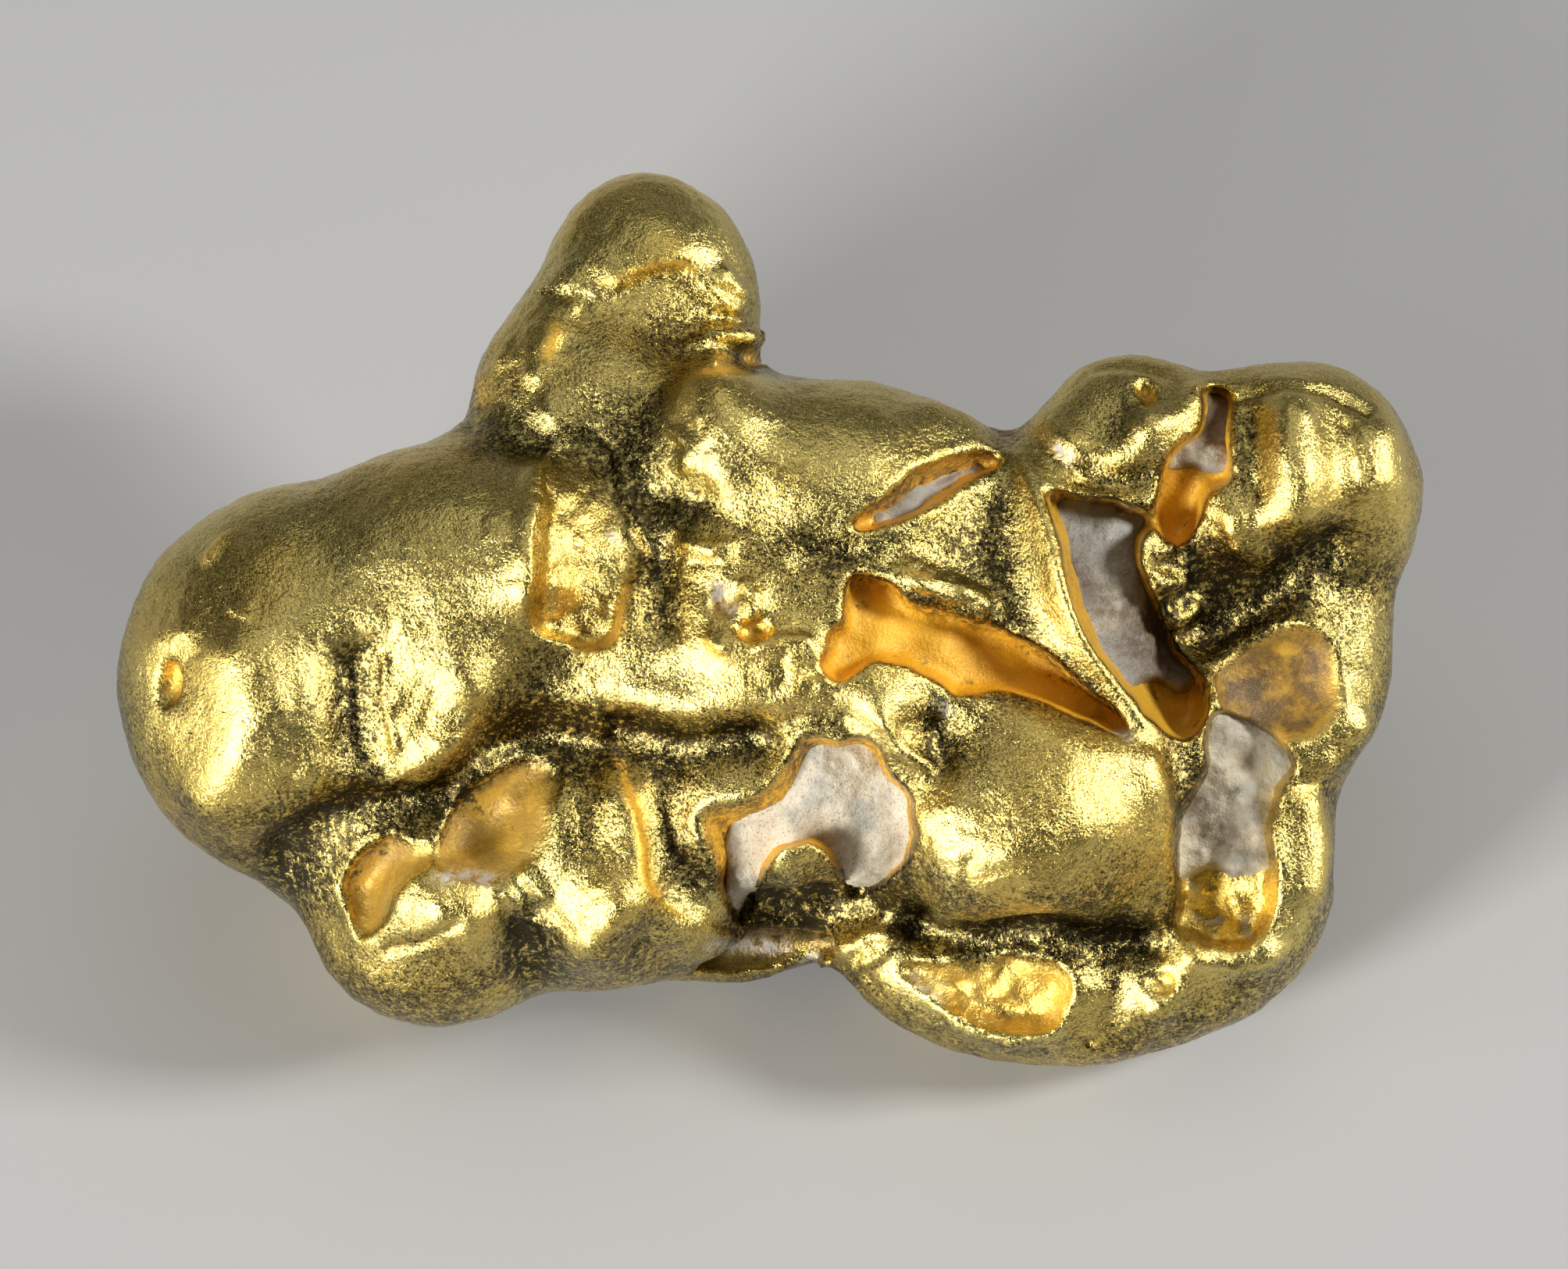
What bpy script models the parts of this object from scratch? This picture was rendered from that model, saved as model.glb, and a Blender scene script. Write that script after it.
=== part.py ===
# Gold nugget with white quartz grains locked in its hollows, lying on its worn underside.
#
# The nugget is described in two frames, both in millimetres.
# Face frame (u, v, w): u runs to the right across the nugget's broad face, v runs up it, and w
# stands out of it. The face's normal rises from the table by FACE_LEAN.
# Table frame (x, y, z): z is up, z = 0 is the table, and x is the same direction as u.

import math

import bmesh
import bpy
import numpy as np
from mathutils import Matrix, Vector, noise
from mathutils.bvhtree import BVHTree
from mathutils.geometry import delaunay_2d_cdt

MM = 0.001

# Driving dimensions, in millimetres and degrees.
FACE_LEAN = 60.0  # elevation of the face's normal above the table
FACE_ORIGIN = (0.137, -0.611, 4.0)  # in the table frame; it centres the nugget over (0, 0)
LOBE_VOXEL = 0.2  # grid that merges the lobes into one lump
MELT_PASSES = 34  # smoothing that melts the lobes into each other
GOLD_TRIANGLES = 4300  # of the lump, before its hollows are cut
SEAT_GAP = 0.06  # clearance between a quartz grain and the gold around it
RIM_STEP = 0.25  # spacing of the points along a hollow's rim
ABOVE_FACE = 5.0  # how high a hollow's cutter starts, clear of the whole face
FLOOR_CELL = 0.36  # spacing of the points on a hollow's floor
LIP = 0.12  # sheer drop at a hollow's rim
WALL_CURVE = 1.3  # above 1, a wall falls fastest at its rim
WALL_RINGS = (0.5, 1.0)  # shares of a wall's width where points are set along it
QUARTZ_CELL = 0.3  # spacing of the points on a quartz grain's broken top

GOLD_COLOUR = (0.83, 0.62, 0.20, 1.0)
QUARTZ_COLOUR = (0.74, 0.72, 0.66, 1.0)

# Lobes seen on the face: name, centre (u, v, w), half sizes, turn in the face in degrees.
FACE_LOBES = (
    ("paw_end", (-5.95, -0.65, 0.10), (2.62, 2.62, 2.30), 0),
    ("paw_shoulder", (-4.10, 0.60, 0.20), (2.75, 1.95, 2.25), 12),
    ("paw_heel", (-4.35, -3.05, -0.30), (1.85, 2.12, 1.95), -12),
    ("belly_left", (-2.35, -2.65, -0.20), (2.20, 2.00, 2.10), 0),
    ("belly", (0.00, -0.50, -0.30), (4.10, 3.20, 2.60), 0),
    ("shelf", (0.45, 1.80, 0.05), (2.75, 1.50, 2.15), -2),
    ("horn_root", (-2.30, 3.00, -0.70), (1.72, 1.70, 1.65), 25),
    ("horn_tip", (-1.66, 4.22, -1.15), (1.50, 1.80, 1.45), 10),
    ("block", (3.25, -2.25, 0.45), (1.85, 1.65, 2.00), 0),
    ("fold", (3.75, 0.60, 0.30), (1.30, 1.80, 1.75), 20),
    ("top_knob", (4.48, 2.22, 0.10), (1.36, 1.42, 1.60), 0),
    ("right_head", (6.58, 1.80, -0.10), (1.72, 1.78, 1.80), 0),
    ("right_neck", (6.38, -0.10, -0.50), (1.56, 2.20, 1.75), 0),
    ("right_roll", (6.10, -2.95, -0.60), (1.06, 1.85, 1.45), 0),
    ("lower_roll", (3.78, -3.82, -0.75), (3.15, 1.80, 1.55), 3),
    ("under_lip", (-0.70, -3.92, -1.10), (1.35, 0.70, 0.85), 0),
)

# Lobes of the hidden side: name, centre (x, y, z) from the point of the table under the face
# frame's origin, half sizes, turn about z in degrees.
UNDER_LOBES = (
    ("keel", (-0.50, 0.20, 2.80), (6.20, 3.10, 3.05), 0),
    ("left_foot", (-4.60, -0.90, 2.70), (2.90, 2.50, 2.50), 15),
    ("right_foot", (4.10, -0.20, 2.60), (3.20, 2.50, 2.50), -12),
    ("back_knuckle", (0.60, 1.80, 3.20), (2.20, 1.40, 2.00), 20),
    ("back_knuckle_right", (5.60, 1.20, 3.40), (1.80, 1.50, 2.00), 0),
    ("back_knuckle_left", (-4.00, 1.00, 3.30), (2.20, 1.60, 2.00), -10),
)

# Broad relief worked into the face: points (u, v), reach and height. A height below zero is a
# valley and one above zero a ridge or a bump.
RELIEF = (
    # the band under the shoulder
    (((-3.65, -1.45), (-3.1, -1.4), (-2.0, -1.45), (-1.0, -1.55), (-0.3, -1.45)), 0.40, -0.50),
    (((-6.4, -3.0), (-5.7, -2.5), (-4.95, -2.3), (-4.25, -2.1)), 0.40, -0.44),
    (((-2.5, -1.9), (-2.35, -2.7)), 0.30, -0.14),
    (((-1.45, -1.9), (-1.35, -2.8), (-1.1, -3.2)), 0.30, -0.24),
    # left end
    (((-6.85, -0.35), (-6.72, -0.9), (-6.85, -1.5), (-7.15, -2.0)), 0.50, 0.26),
    (((-5.42, -0.45), (-5.42, -0.9), (-5.35, -1.5)), 0.40, -0.40),
    (((-4.00, -0.6), (-3.98, -1.15)), 0.52, 0.36),
    (((-4.35, -1.50), (-4.50, -1.75)), 0.32, 0.20),
    (((-3.35, 1.2), (-3.30, 0.7)), 0.50, 0.22),
    (((-5.55, -3.0), (-5.85, -3.5)), 0.40, -0.14),
    # foot of the left end
    (((-4.35, -3.45), (-4.0, -3.55)), 0.52, 0.40),
    (((-3.3, -3.75), (-3.25, -4.2)), 0.28, -0.22),
    (((-2.15, -3.5), (-2.35, -3.8)), 0.40, 0.34),
    (((-1.75, -3.95), (-1.6, -4.1)), 0.30, -0.12),
    # under the horn and across the belly
    (((-0.90, 2.85), (-0.75, 2.75)), 0.58, 0.56),
    (((-0.9, 2.1), (-0.75, 2.0)), 0.28, 0.12),
    (((-1.6, 1.75), (-1.0, 1.7)), 0.24, -0.16),
    (((-1.6, 0.9), (-1.5, 0.2)), 0.28, -0.22),
    (((-1.0, 1.05), (-0.75, 0.95)), 0.26, 0.18),
    (((-0.7, -0.15), (-0.2, -0.2), (0.2, -0.15), (0.45, -0.4)), 0.22, 0.16),
    (((-1.6, -0.5), (-1.2, -0.6)), 0.30, -0.10),
    (((0.4, 1.0), (0.8, 0.95)), 0.25, -0.14),
    # between the slits and the slot
    (((1.65, 0.72), (2.1, 0.58), (2.55, 0.38)), 0.20, 0.20),
    (((3.12, 2.15), (3.32, 1.5), (3.55, 0.7), (3.85, -0.05), (4.25, -0.65),
       (4.62, -1.15)), 0.26, 0.16),
    (((1.95, 2.85), (2.4, 2.6)), 0.20, 0.12),
    # lobe and fold left of the block
    (((1.25, -0.85), (1.4, -0.85)), 0.34, 0.16),
    (((2.05, -1.25), (2.0, -1.65)), 0.20, -0.20),
    (((0.2, -1.15), (0.8, -1.15)), 0.22, -0.16),
    # block
    (((2.4, -0.95), (3.3, -1.25), (4.2, -1.6)), 0.26, 0.10),
    (((2.10, -2.4), (2.30, -3.3)), 0.50, 0.24),
    (((3.0, -2.9), (3.3, -3.2)), 0.50, 0.14),
    (((4.6, -1.7), (4.7, -1.95)), 0.26, 0.22),
    (((4.80, -2.3), (4.84, -3.2), (4.75, -3.6)), 0.22, 0.14),
    (((1.8, -4.0), (2.8, -4.1), (3.8, -4.05), (4.7, -4.12)), 0.28, -0.50),
    (((0.1, -2.95), (0.15, -3.05)), 0.26, 0.20),
    (((-0.2, -3.65), (0.4, -3.55), (1.1, -3.65)), 0.26, -0.40),
    (((0.8, -4.05), (1.3, -3.85)), 0.24, 0.18),
    # top knob and right head
    (((3.45, 2.6), (3.7, 2.45)), 0.24, 0.16),
    (((4.7, 2.60), (5.05, 2.72), (5.25, 2.95)), 0.20, 0.18),
    (((4.3, 2.9), (4.1, 2.6)), 0.30, -0.12),
    (((6.52, 2.75), (6.58, 2.2), (6.62, 1.6)), 0.40, 0.24),
    (((7.60, 2.45), (7.66, 2.0)), 0.32, 0.18),
    (((7.10, 2.7), (7.12, 1.8)), 0.34, -0.10),
    (((5.98, 2.8), (5.98, 1.9)), 0.26, -0.20),
    (((5.75, 1.55), (5.85, 1.1), (6.1, 0.8)), 0.20, 0.18),
    (((5.5, 0.1), (6.1, 0.35), (6.8, 0.75), (7.2, 0.9)), 0.52, -0.62),
    (((7.3, 0.3), (7.35, -0.5)), 0.36, -0.20),
    # lower rolls
    (((6.72, -2.2), (6.78, -2.8), (6.75, -3.3)), 0.22, 0.20),
    (((4.85, -4.75), (5.05, -4.5)), 0.22, 0.16),
    (((4.3, -4.6), (4.2, -5.0)), 0.25, -0.14),
    # horn
    (((-2.2, 3.9), (-1.5, 3.9)), 0.60, -0.14),
    (((-3.8, 2.35), (-3.1, 2.45)), 0.26, -0.12),
)

# Hollows: rim points (u, v) or (u, v, wall), where wall is how far the wall runs inward
# between the rim and the floor. Without it, the hollow's own wall is used.
HOLLOWS = {
    "centre": dict(
        depth=0.85,
        wall=0.15,
        rim=(
            (0.30, -1.30, 0.35), (0.76, -1.38), (1.05, -1.34), (1.26, -1.50), (1.40, -1.79),
            (1.62, -2.06), (1.74, -2.50), (1.66, -2.90), (1.18, -3.32), (0.96, -3.36),
            (0.76, -3.16), (0.66, -2.92), (0.50, -2.74), (0.30, -2.68), (0.05, -2.76),
            (-0.14, -2.93), (-0.28, -3.22), (-0.38, -3.52), (-0.50, -3.70), (-0.65, -3.56),
            (-0.77, -3.27, 0.10), (-0.86, -2.93, 0.31), (-1.02, -2.60, 0.53), (-1.10, -2.36, 0.63),
            (-0.86, -2.21, 0.59), (-0.56, -2.16, 0.56), (-0.24, -2.04, 0.50), (-0.02, -1.79, 0.42),
            (0.15, -1.50, 0.39),
        ),
    ),
    "slot": dict(
        depth=0.95,
        wall=0.14,
        rim=(
            (3.30, 2.08), (3.43, 1.84), (3.98, 1.73), (4.64, 1.58), (4.80, 1.40), (4.62, 1.20),
            (4.57, 0.95), (4.72, 0.64), (4.84, 0.36), (5.00, -0.06), (5.24, -0.38), (5.42, -0.64),
            (5.43, -0.98), (5.34, -1.24), (5.10, -1.36), (4.75, -1.18, 0.25), (4.40, -0.80, 0.26),
            (3.96, -0.20, 0.26), (3.70, 0.34, 0.26), (3.56, 1.10, 0.24), (3.42, 1.55, 0.20),
        ),
    ),
    "slit": dict(
        depth=0.48,
        wall=0.10,
        rim=(
            (0.84, 0.72), (1.24, 0.71), (1.54, 0.53), (1.72, 0.37), (2.18, 0.28), (2.56, 0.15),
            (2.91, -0.01), (3.23, -0.11), (3.52, -0.30), (3.74, -0.55), (3.99, -0.78),
            (4.20, -0.92), (4.42, -1.20), (4.32, -1.33), (4.03, -1.19), (3.64, -1.03),
            (3.23, -0.85), (2.76, -0.76), (2.40, -0.80), (2.20, -0.80), (2.05, -0.66),
            (1.79, -0.52), (1.54, -0.40), (1.22, -0.38), (0.97, -0.49), (0.72, -0.64),
            (0.50, -0.44), (0.60, -0.26), (0.62, 0.06), (0.78, 0.12),
        ),
    ),
    "upper_slit": dict(
        depth=0.65,
        wall=0.12,
        rim=(
            (0.86, 1.34), (1.08, 1.60, 0.22), (1.40, 1.80, 0.28), (1.64, 2.03, 0.30),
            (2.00, 2.21, 0.30), (2.40, 2.34, 0.25), (2.68, 2.29, 0.20), (2.88, 2.14), (2.66, 2.00),
            (2.34, 1.85), (2.02, 1.64), (1.70, 1.46), (1.38, 1.36), (1.05, 1.28),
        ),
    ),
    "trough": dict(
        depth=0.62,
        wall=0.12,
        rim=(
            (5.55, -1.02), (5.40, -1.36), (5.40, -1.72), (5.20, -2.09), (5.07, -2.48),
            (5.03, -3.15), (5.02, -3.78), (5.22, -3.96), (5.66, -4.05), (6.04, -3.96),
            (6.24, -3.68), (6.34, -3.15), (6.27, -2.52), (6.38, -2.04), (6.60, -1.70),
            (6.35, -1.30), (5.95, -1.06),
        ),
    ),
    "notch": dict(
        depth=0.60,
        wall=0.12,
        rim=(
            (5.34, 3.12), (5.72, 3.08), (5.78, 2.68), (5.76, 2.25), (5.76, 1.90), (5.48, 1.78),
            (5.39, 1.51), (5.24, 1.22), (5.02, 1.06), (4.84, 1.22), (4.74, 1.50), (4.82, 1.80),
            (4.89, 2.17), (5.09, 2.43), (5.33, 2.60), (5.39, 2.90),
        ),
    ),
    "scoop": dict(
        depth=0.52,
        wall=0.38,
        rim=(
            (-4.38, -2.92), (-4.34, -2.49), (-4.05, -2.06), (-3.53, -1.71), (-3.16, -1.60),
            (-2.84, -1.75), (-2.76, -1.95, 0.60), (-2.88, -2.25, 0.80), (-2.90, -2.60, 0.90),
            (-3.10, -2.95, 0.90), (-3.60, -3.20, 0.80), (-4.10, -3.12, 0.60),
        ),
    ),
    "heel_scoop": dict(
        depth=0.45,
        wall=0.34,
        rim=(
            (-5.55, -3.49), (-5.60, -3.19), (-5.42, -2.86), (-5.02, -2.60), (-4.60, -2.70),
            (-4.40, -2.62), (-4.42, -2.88), (-4.75, -3.20), (-5.05, -3.70), (-5.37, -3.90),
        ),
    ),
    "crumple": dict(
        depth=0.20,
        wall=0.16,
        rim=(
            (-2.98, 2.24), (-3.08, 1.57), (-3.14, 0.80), (-3.18, 0.10), (-2.57, -0.20),
            (-2.16, -0.17), (-2.04, 0.02), (-1.91, 0.55), (-1.72, 1.06), (-1.98, 1.70),
            (-2.20, 2.50), (-2.40, 2.64), (-2.68, 2.48),
        ),
    ),
    "lower_scoop": dict(
        depth=0.40,
        wall=0.30,
        rim=(
            (1.50, -4.30), (1.88, -4.20), (2.29, -4.22), (2.70, -4.14), (3.23, -4.14),
            (3.64, -4.30), (3.74, -4.54), (3.60, -4.90), (3.30, -5.10), (2.62, -5.10),
            (2.05, -4.72),
        ),
    ),
    "horn_notch": dict(
        depth=0.34,
        wall=0.12,
        rim=(
            (-1.20, 3.30), (-0.80, 3.54), (-0.41, 3.64), (-0.05, 3.62), (-0.10, 3.42),
            (-0.37, 3.28), (-0.80, 3.27),
        ),
    ),
    "triangle_pit": dict(
        depth=0.28,
        wall=0.10,
        rim=(
            (4.50, 3.22), (4.72, 3.18), (4.80, 2.92), (4.62, 2.84), (4.54, 3.02),
        ),
    ),
}

# Round pits: centre (u, v), half sizes across the face, depth, turn in degrees.
PITS = {
    "socket": ((6.50, -0.66), (0.98, 0.82), 0.75, -20),
    "eye": ((-7.78, -0.66), (0.20, 0.34), 0.24, -14),
    "pinhole": ((-0.35, 0.03), (0.24, 0.17), 0.26, 0),
    "purple_pit": ((-0.75, 0.40), (0.17, 0.22), 0.18, 0),
    "roll_pit": ((4.86, -4.46), (0.20, 0.20), 0.18, 0),
    "recess": ((-0.20, -4.10), (1.05, 0.30), 0.40, 5),
}

# Quartz grains: the hollows that hold them, how far their broken top lies below the skin, and
# the box (u, v) that they fill.
GRAINS = {
    "quartz_centre": dict(holds=("centre",), sunk=0.46, span=(-1.2, -3.9, 1.9, -1.2)),
    "quartz_slot": dict(holds=("slot",), sunk=0.60, span=(3.2, -0.62, 5.5, 2.2)),
    "quartz_slit": dict(holds=("upper_slit",), sunk=0.34, span=(0.8, 1.1, 3.0, 2.5)),
    "quartz_trough": dict(holds=("trough",), sunk=0.38, span=(4.9, -3.06, 6.8, -0.9)),
    "quartz_notch": dict(holds=("notch",), sunk=0.34, span=(4.7, 1.98, 5.9, 3.2)),
}


def face_frame():
    """Carries a point of the face frame to the table frame, both in millimetres."""
    lean = math.radians(FACE_LEAN)
    up_face = Vector((0, math.sin(lean), math.cos(lean)))
    out_of_face = Vector((0, -math.cos(lean), math.sin(lean)))
    axes = Matrix((Vector((1, 0, 0)), up_face, out_of_face)).transposed()
    return Matrix.Translation(FACE_ORIGIN) @ axes.to_4x4()


FACE = face_frame()
FACE_BACK = FACE.inverted()


def clear_scene():
    for obj in list(bpy.data.objects):
        bpy.data.objects.remove(obj)


def new_collection(name):
    collection = bpy.data.collections.new(name)
    bpy.context.scene.collection.children.link(collection)
    return collection


def material(name, colour, roughness, metallic):
    made = bpy.data.materials.new(name)
    made.use_nodes = True
    shader = made.node_tree.nodes["Principled BSDF"]
    shader.inputs["Base Color"].default_value = colour
    shader.inputs["Roughness"].default_value = roughness
    shader.inputs["Metallic"].default_value = metallic
    return made


def place(name, mesh, collection, helper=False):
    obj = bpy.data.objects.new(name, mesh)
    collection.objects.link(obj)
    if helper:
        obj.hide_render = True
        obj.display_type = "WIRE"
    return obj


def ellipsoid(bm, matrix, half_sizes, subdivisions=4):
    size = Matrix.Diagonal((*half_sizes, 1))
    bmesh.ops.create_icosphere(bm, subdivisions=subdivisions, radius=1, matrix=matrix @ size)


def finished_mesh(bm, name, frame=None):
    """Ends a bmesh in millimetres and hands back its mesh in metres."""
    mesh = bpy.data.meshes.new(name)
    bmesh.ops.recalc_face_normals(bm, faces=bm.faces)
    bm.to_mesh(mesh)
    bm.free()
    if frame:
        mesh.transform(frame)
    mesh.transform(Matrix.Scale(MM, 4))
    return mesh


def lobes_mesh():
    bm = bmesh.new()
    for _, centre, half_sizes, turn in FACE_LOBES:
        turned = Matrix.Rotation(math.radians(turn), 4, "Z")
        ellipsoid(bm, FACE @ Matrix.Translation(centre) @ turned, half_sizes)
    for _, centre, half_sizes, turn in UNDER_LOBES:
        turned = Matrix.Rotation(math.radians(turn), 4, "Z")
        under = Matrix.Translation((FACE_ORIGIN[0], FACE_ORIGIN[1], 0))
        ellipsoid(bm, under @ Matrix.Translation(centre) @ turned, half_sizes)
    return finished_mesh(bm, "lobes")


def baked(obj):
    """The object's mesh with its modifiers applied. The object itself is removed."""
    bpy.context.view_layer.update()
    graph = bpy.context.evaluated_depsgraph_get()
    mesh = bpy.data.meshes.new_from_object(obj.evaluated_get(graph))
    bpy.data.objects.remove(obj)
    return mesh


def melted_lump(collection):
    """The lobes merged by a voxel grid, smoothed into one lump and divided for its relief."""
    lump = place("lump", lobes_mesh(), collection)
    merge = lump.modifiers.new("merge", "REMESH")
    merge.mode = "VOXEL"
    merge.voxel_size = LOBE_VOXEL * MM
    melt = lump.modifiers.new("melt", "SMOOTH")
    melt.factor = 0.5
    melt.iterations = MELT_PASSES
    finer = lump.modifiers.new("finer", "SUBSURF")
    finer.levels = 1
    finer.render_levels = 1
    return baked(lump)


def distance_to_line(points, line):
    """Distance in the face from every point to a line of points."""
    line = np.array(line, float)
    nearest = np.full(len(points), np.inf)
    for start, end in zip(line[:-1], line[1:]):
        along = end - start
        part = np.clip((points - start) @ along / (along @ along), 0, 1)
        foot = start + part[:, None] * along
        nearest = np.minimum(nearest, np.linalg.norm(points - foot, axis=1))
    return nearest


def work_relief(mesh):
    """Raises the ridges and presses the valleys of RELIEF into the side that faces outward."""
    count = len(mesh.vertices)
    places = np.empty(count * 3)
    normals = np.empty(count * 3)
    mesh.vertices.foreach_get("co", places)
    mesh.vertex_normals.foreach_get("vector", normals)
    places = places.reshape(-1, 3)
    normals = normals.reshape(-1, 3)
    turn = np.array(FACE_BACK.to_3x3())
    shift = np.array(FACE_BACK.translation)
    in_face = (places / MM) @ turn.T + shift
    facing = np.clip((normals @ turn.T)[:, 2] / 0.4 + 0.2, 0, 1)
    rise = np.zeros(count)
    for line, reach, height in RELIEF:
        gap = distance_to_line(in_face[:, :2], line)
        rise += height * np.exp(-((gap / reach) ** 2))
    places += normals * (rise * facing * MM)[:, None]
    mesh.vertices.foreach_set("co", places.ravel())
    mesh.update()


class Skin:
    """The lump before its hollows are cut, for finding its height w over a point of the face."""

    def __init__(self, mesh):
        graph_mesh = bmesh.new()
        graph_mesh.from_mesh(mesh)
        graph_mesh.transform(FACE_BACK @ Matrix.Scale(1 / MM, 4))
        self.tree = BVHTree.FromBMesh(graph_mesh)
        graph_mesh.free()

    def height(self, u, v):
        """Height w of the skin, or of the skin's nearest point off its edge."""
        hit = self.tree.ray_cast(Vector((u, v, ABOVE_FACE)), Vector((0, 0, -1)))[0]
        if hit is None:
            hit = self.tree.find_nearest(Vector((u, v, 0)))[0]
        return hit.z


def rounded(points, step):
    """A closed curve through the points, as points about one step apart."""
    made = []
    count = len(points)
    for i in range(count):
        before, start, end, after = (np.array(points[(i + k) % count]) for k in (-1, 0, 1, 2))
        parts = max(1, round(float(np.linalg.norm((end - start)[:2])) / step))
        for j in range(parts):
            t = j / parts
            bend = (2 * before - 5 * start + 4 * end - after) * t * t
            bend = bend + (3 * start - before - 3 * end + after) * t * t * t
            made.append(start + 0.5 * ((end - before) * t + bend))
    return np.array(made)


def inward(rim):
    """Unit directions in the face that point from a closed rim to its inside."""
    along = np.roll(rim, -1, 0)[:, :2] - np.roll(rim, 1, 0)[:, :2]
    side = np.stack((-along[:, 1], along[:, 0]), 1)
    side /= np.linalg.norm(side, axis=1)[:, None]
    after = np.roll(rim, -1, 0)
    area = np.sum(rim[:, 0] * after[:, 1] - after[:, 0] * rim[:, 1])
    return side if area > 0 else -side


def inside(points, rim):
    """Which points of the face lie inside a closed rim."""
    crossings = np.zeros(len(points), int)
    for start, end in zip(rim, np.roll(rim, -1, 0)):
        spans = (start[1] > points[:, 1]) != (end[1] > points[:, 1])
        rise = end[1] - start[1] if end[1] != start[1] else 1e-9
        meets = start[0] + (points[:, 1] - start[1]) * (end[0] - start[0]) / rise
        crossings += spans & (points[:, 0] < meets)
    return crossings % 2 == 1


def floor_points(rim, rings, cell):
    """Points inside a rim: rings along it at the given distances, then an even field."""
    edge = np.vstack((rim, rim[:1]))[:, :2]
    into = inward(rim)
    found = [np.empty((0, 2))]
    for reach in rings:
        ring = rim[:, :2] + into * reach[:, None]
        true_gap = distance_to_line(ring, edge)
        kept = inside(ring, rim) & (true_gap > 0.93 * reach) & (reach > 0.02)
        found.append(ring[kept])
    low = edge.min(0)
    across, upward = np.ceil((edge.max(0) - low) / cell).astype(int)
    grid = np.array([
        (low[0] + (i + 0.5 * (j % 2)) * cell, low[1] + j * cell * 0.87)
        for j in range(int(upward / 0.87) + 1)
        for i in range(across + 1)
    ])
    used = np.vstack(found)
    for point in grid[inside(grid, rim)]:
        near = np.linalg.norm(used - point, axis=1).min() if len(used) else 1
        if near > 0.7 * cell and distance_to_line(point[None], edge)[0] > 0.6 * cell:
            used = np.vstack((used, point))
    return used


def hollow_mesh(name, skin, clearance=0.0):
    """The solid that a hollow removes. A clearance draws its walls and floor inward."""
    shape = HOLLOWS[name]
    points = [(*p, shape["wall"]) if len(p) == 2 else p for p in shape["rim"]]
    rim = rounded(points, RIM_STEP)
    walls = rim[:, 2]
    rings = [walls * share + clearance for share in WALL_RINGS]
    if clearance:
        rings.insert(0, np.full(len(rim), clearance))
    extra = floor_points(rim, rings, FLOOR_CELL)
    flat = [Vector(p) for p in np.vstack((rim[:, :2], extra))]
    made = delaunay_2d_cdt(flat, [], [list(range(len(rim)))], 1, 1e-6)
    verts, faces = made[0], made[2]
    flat = np.array([(p.x, p.y) for p in verts])
    gap = distance_to_line(flat, np.vstack((rim, rim[:1]))[:, :2]) - clearance
    away = np.linalg.norm(flat[:, None] - rim[None, :, :2], axis=2) + 0.02
    weight = away ** -4.0
    wall = (weight @ walls) / weight.sum(1)
    lip = LIP * np.minimum(1, shape["wall"] / wall) ** 2
    run = np.clip(gap / wall, 0, 1)
    down = lip + (shape["depth"] - lip) * (1 - (1 - run) ** WALL_CURVE)
    down = np.where(gap < -1e-4, 0, down)
    bm = bmesh.new()
    low = []
    high = []
    for (u, v), sunk in zip(flat, down):
        low.append(bm.verts.new((u, v, skin.height(u, v) - sunk + clearance)))
        high.append(bm.verts.new((u, v, ABOVE_FACE)))
    for face in faces:
        bm.faces.new([low[i] for i in face])
        bm.faces.new([high[i] for i in reversed(face)])
    for edge in [edge for edge in bm.edges if edge.is_boundary and edge.verts[0] in set(low)]:
        i, j = (low.index(vert) for vert in edge.verts)
        bm.faces.new((low[i], low[j], high[j], high[i]))
    bmesh.ops.triangulate(bm, faces=bm.faces)
    return finished_mesh(bm, name, FACE)


def pit_mesh(name, skin, clearance=0.0):
    (u, v), half_sizes, depth, turn = PITS[name]
    bm = bmesh.new()
    sizes = (*(size - clearance for size in half_sizes), depth - clearance)
    turned = Matrix.Rotation(math.radians(turn), 4, "Z")
    detail = 3 if half_sizes[0] > 0.5 else 2
    ellipsoid(bm, Matrix.Translation((u, v, skin.height(u, v))) @ turned, sizes, detail)
    return finished_mesh(bm, name, FACE)


def broken_block(name, skin, span, sunk):
    """A block under the skin with a rough, broken top, to be trimmed to a hollow."""
    left, bottom, right, top = span
    across = round((right - left) / QUARTZ_CELL)
    upward = round((top - bottom) / QUARTZ_CELL)
    bm = bmesh.new()
    rows = []
    for j in range(upward + 1):
        row = []
        for i in range(across + 1):
            u = left + (right - left) * i / across
            v = bottom + (top - bottom) * j / upward
            rough = noise.noise(Vector((u * 1.7, v * 1.7, 3.1))) * 0.16
            rough += noise.noise(Vector((u * 4.3, v * 4.3, 7.7))) * 0.10
            row.append(bm.verts.new((u, v, skin.height(u, v) - sunk + rough)))
        rows.append(row)
    for low, high in zip(rows[:-1], rows[1:]):
        for i in range(across):
            bm.faces.new((low[i], low[i + 1], high[i + 1], high[i]))
    made = bmesh.ops.extrude_face_region(bm, geom=bm.faces[:])
    for item in made["geom"]:
        if isinstance(item, bmesh.types.BMVert):
            item.co.z = -ABOVE_FACE
    bmesh.ops.triangulate(bm, faces=bm.faces)
    return finished_mesh(bm, name, FACE)


def cut(obj, cutter, operation="DIFFERENCE"):
    boolean = obj.modifiers.new(cutter.name, "BOOLEAN")
    boolean.operation = operation
    boolean.solver = "EXACT"
    boolean.object = cutter


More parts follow.
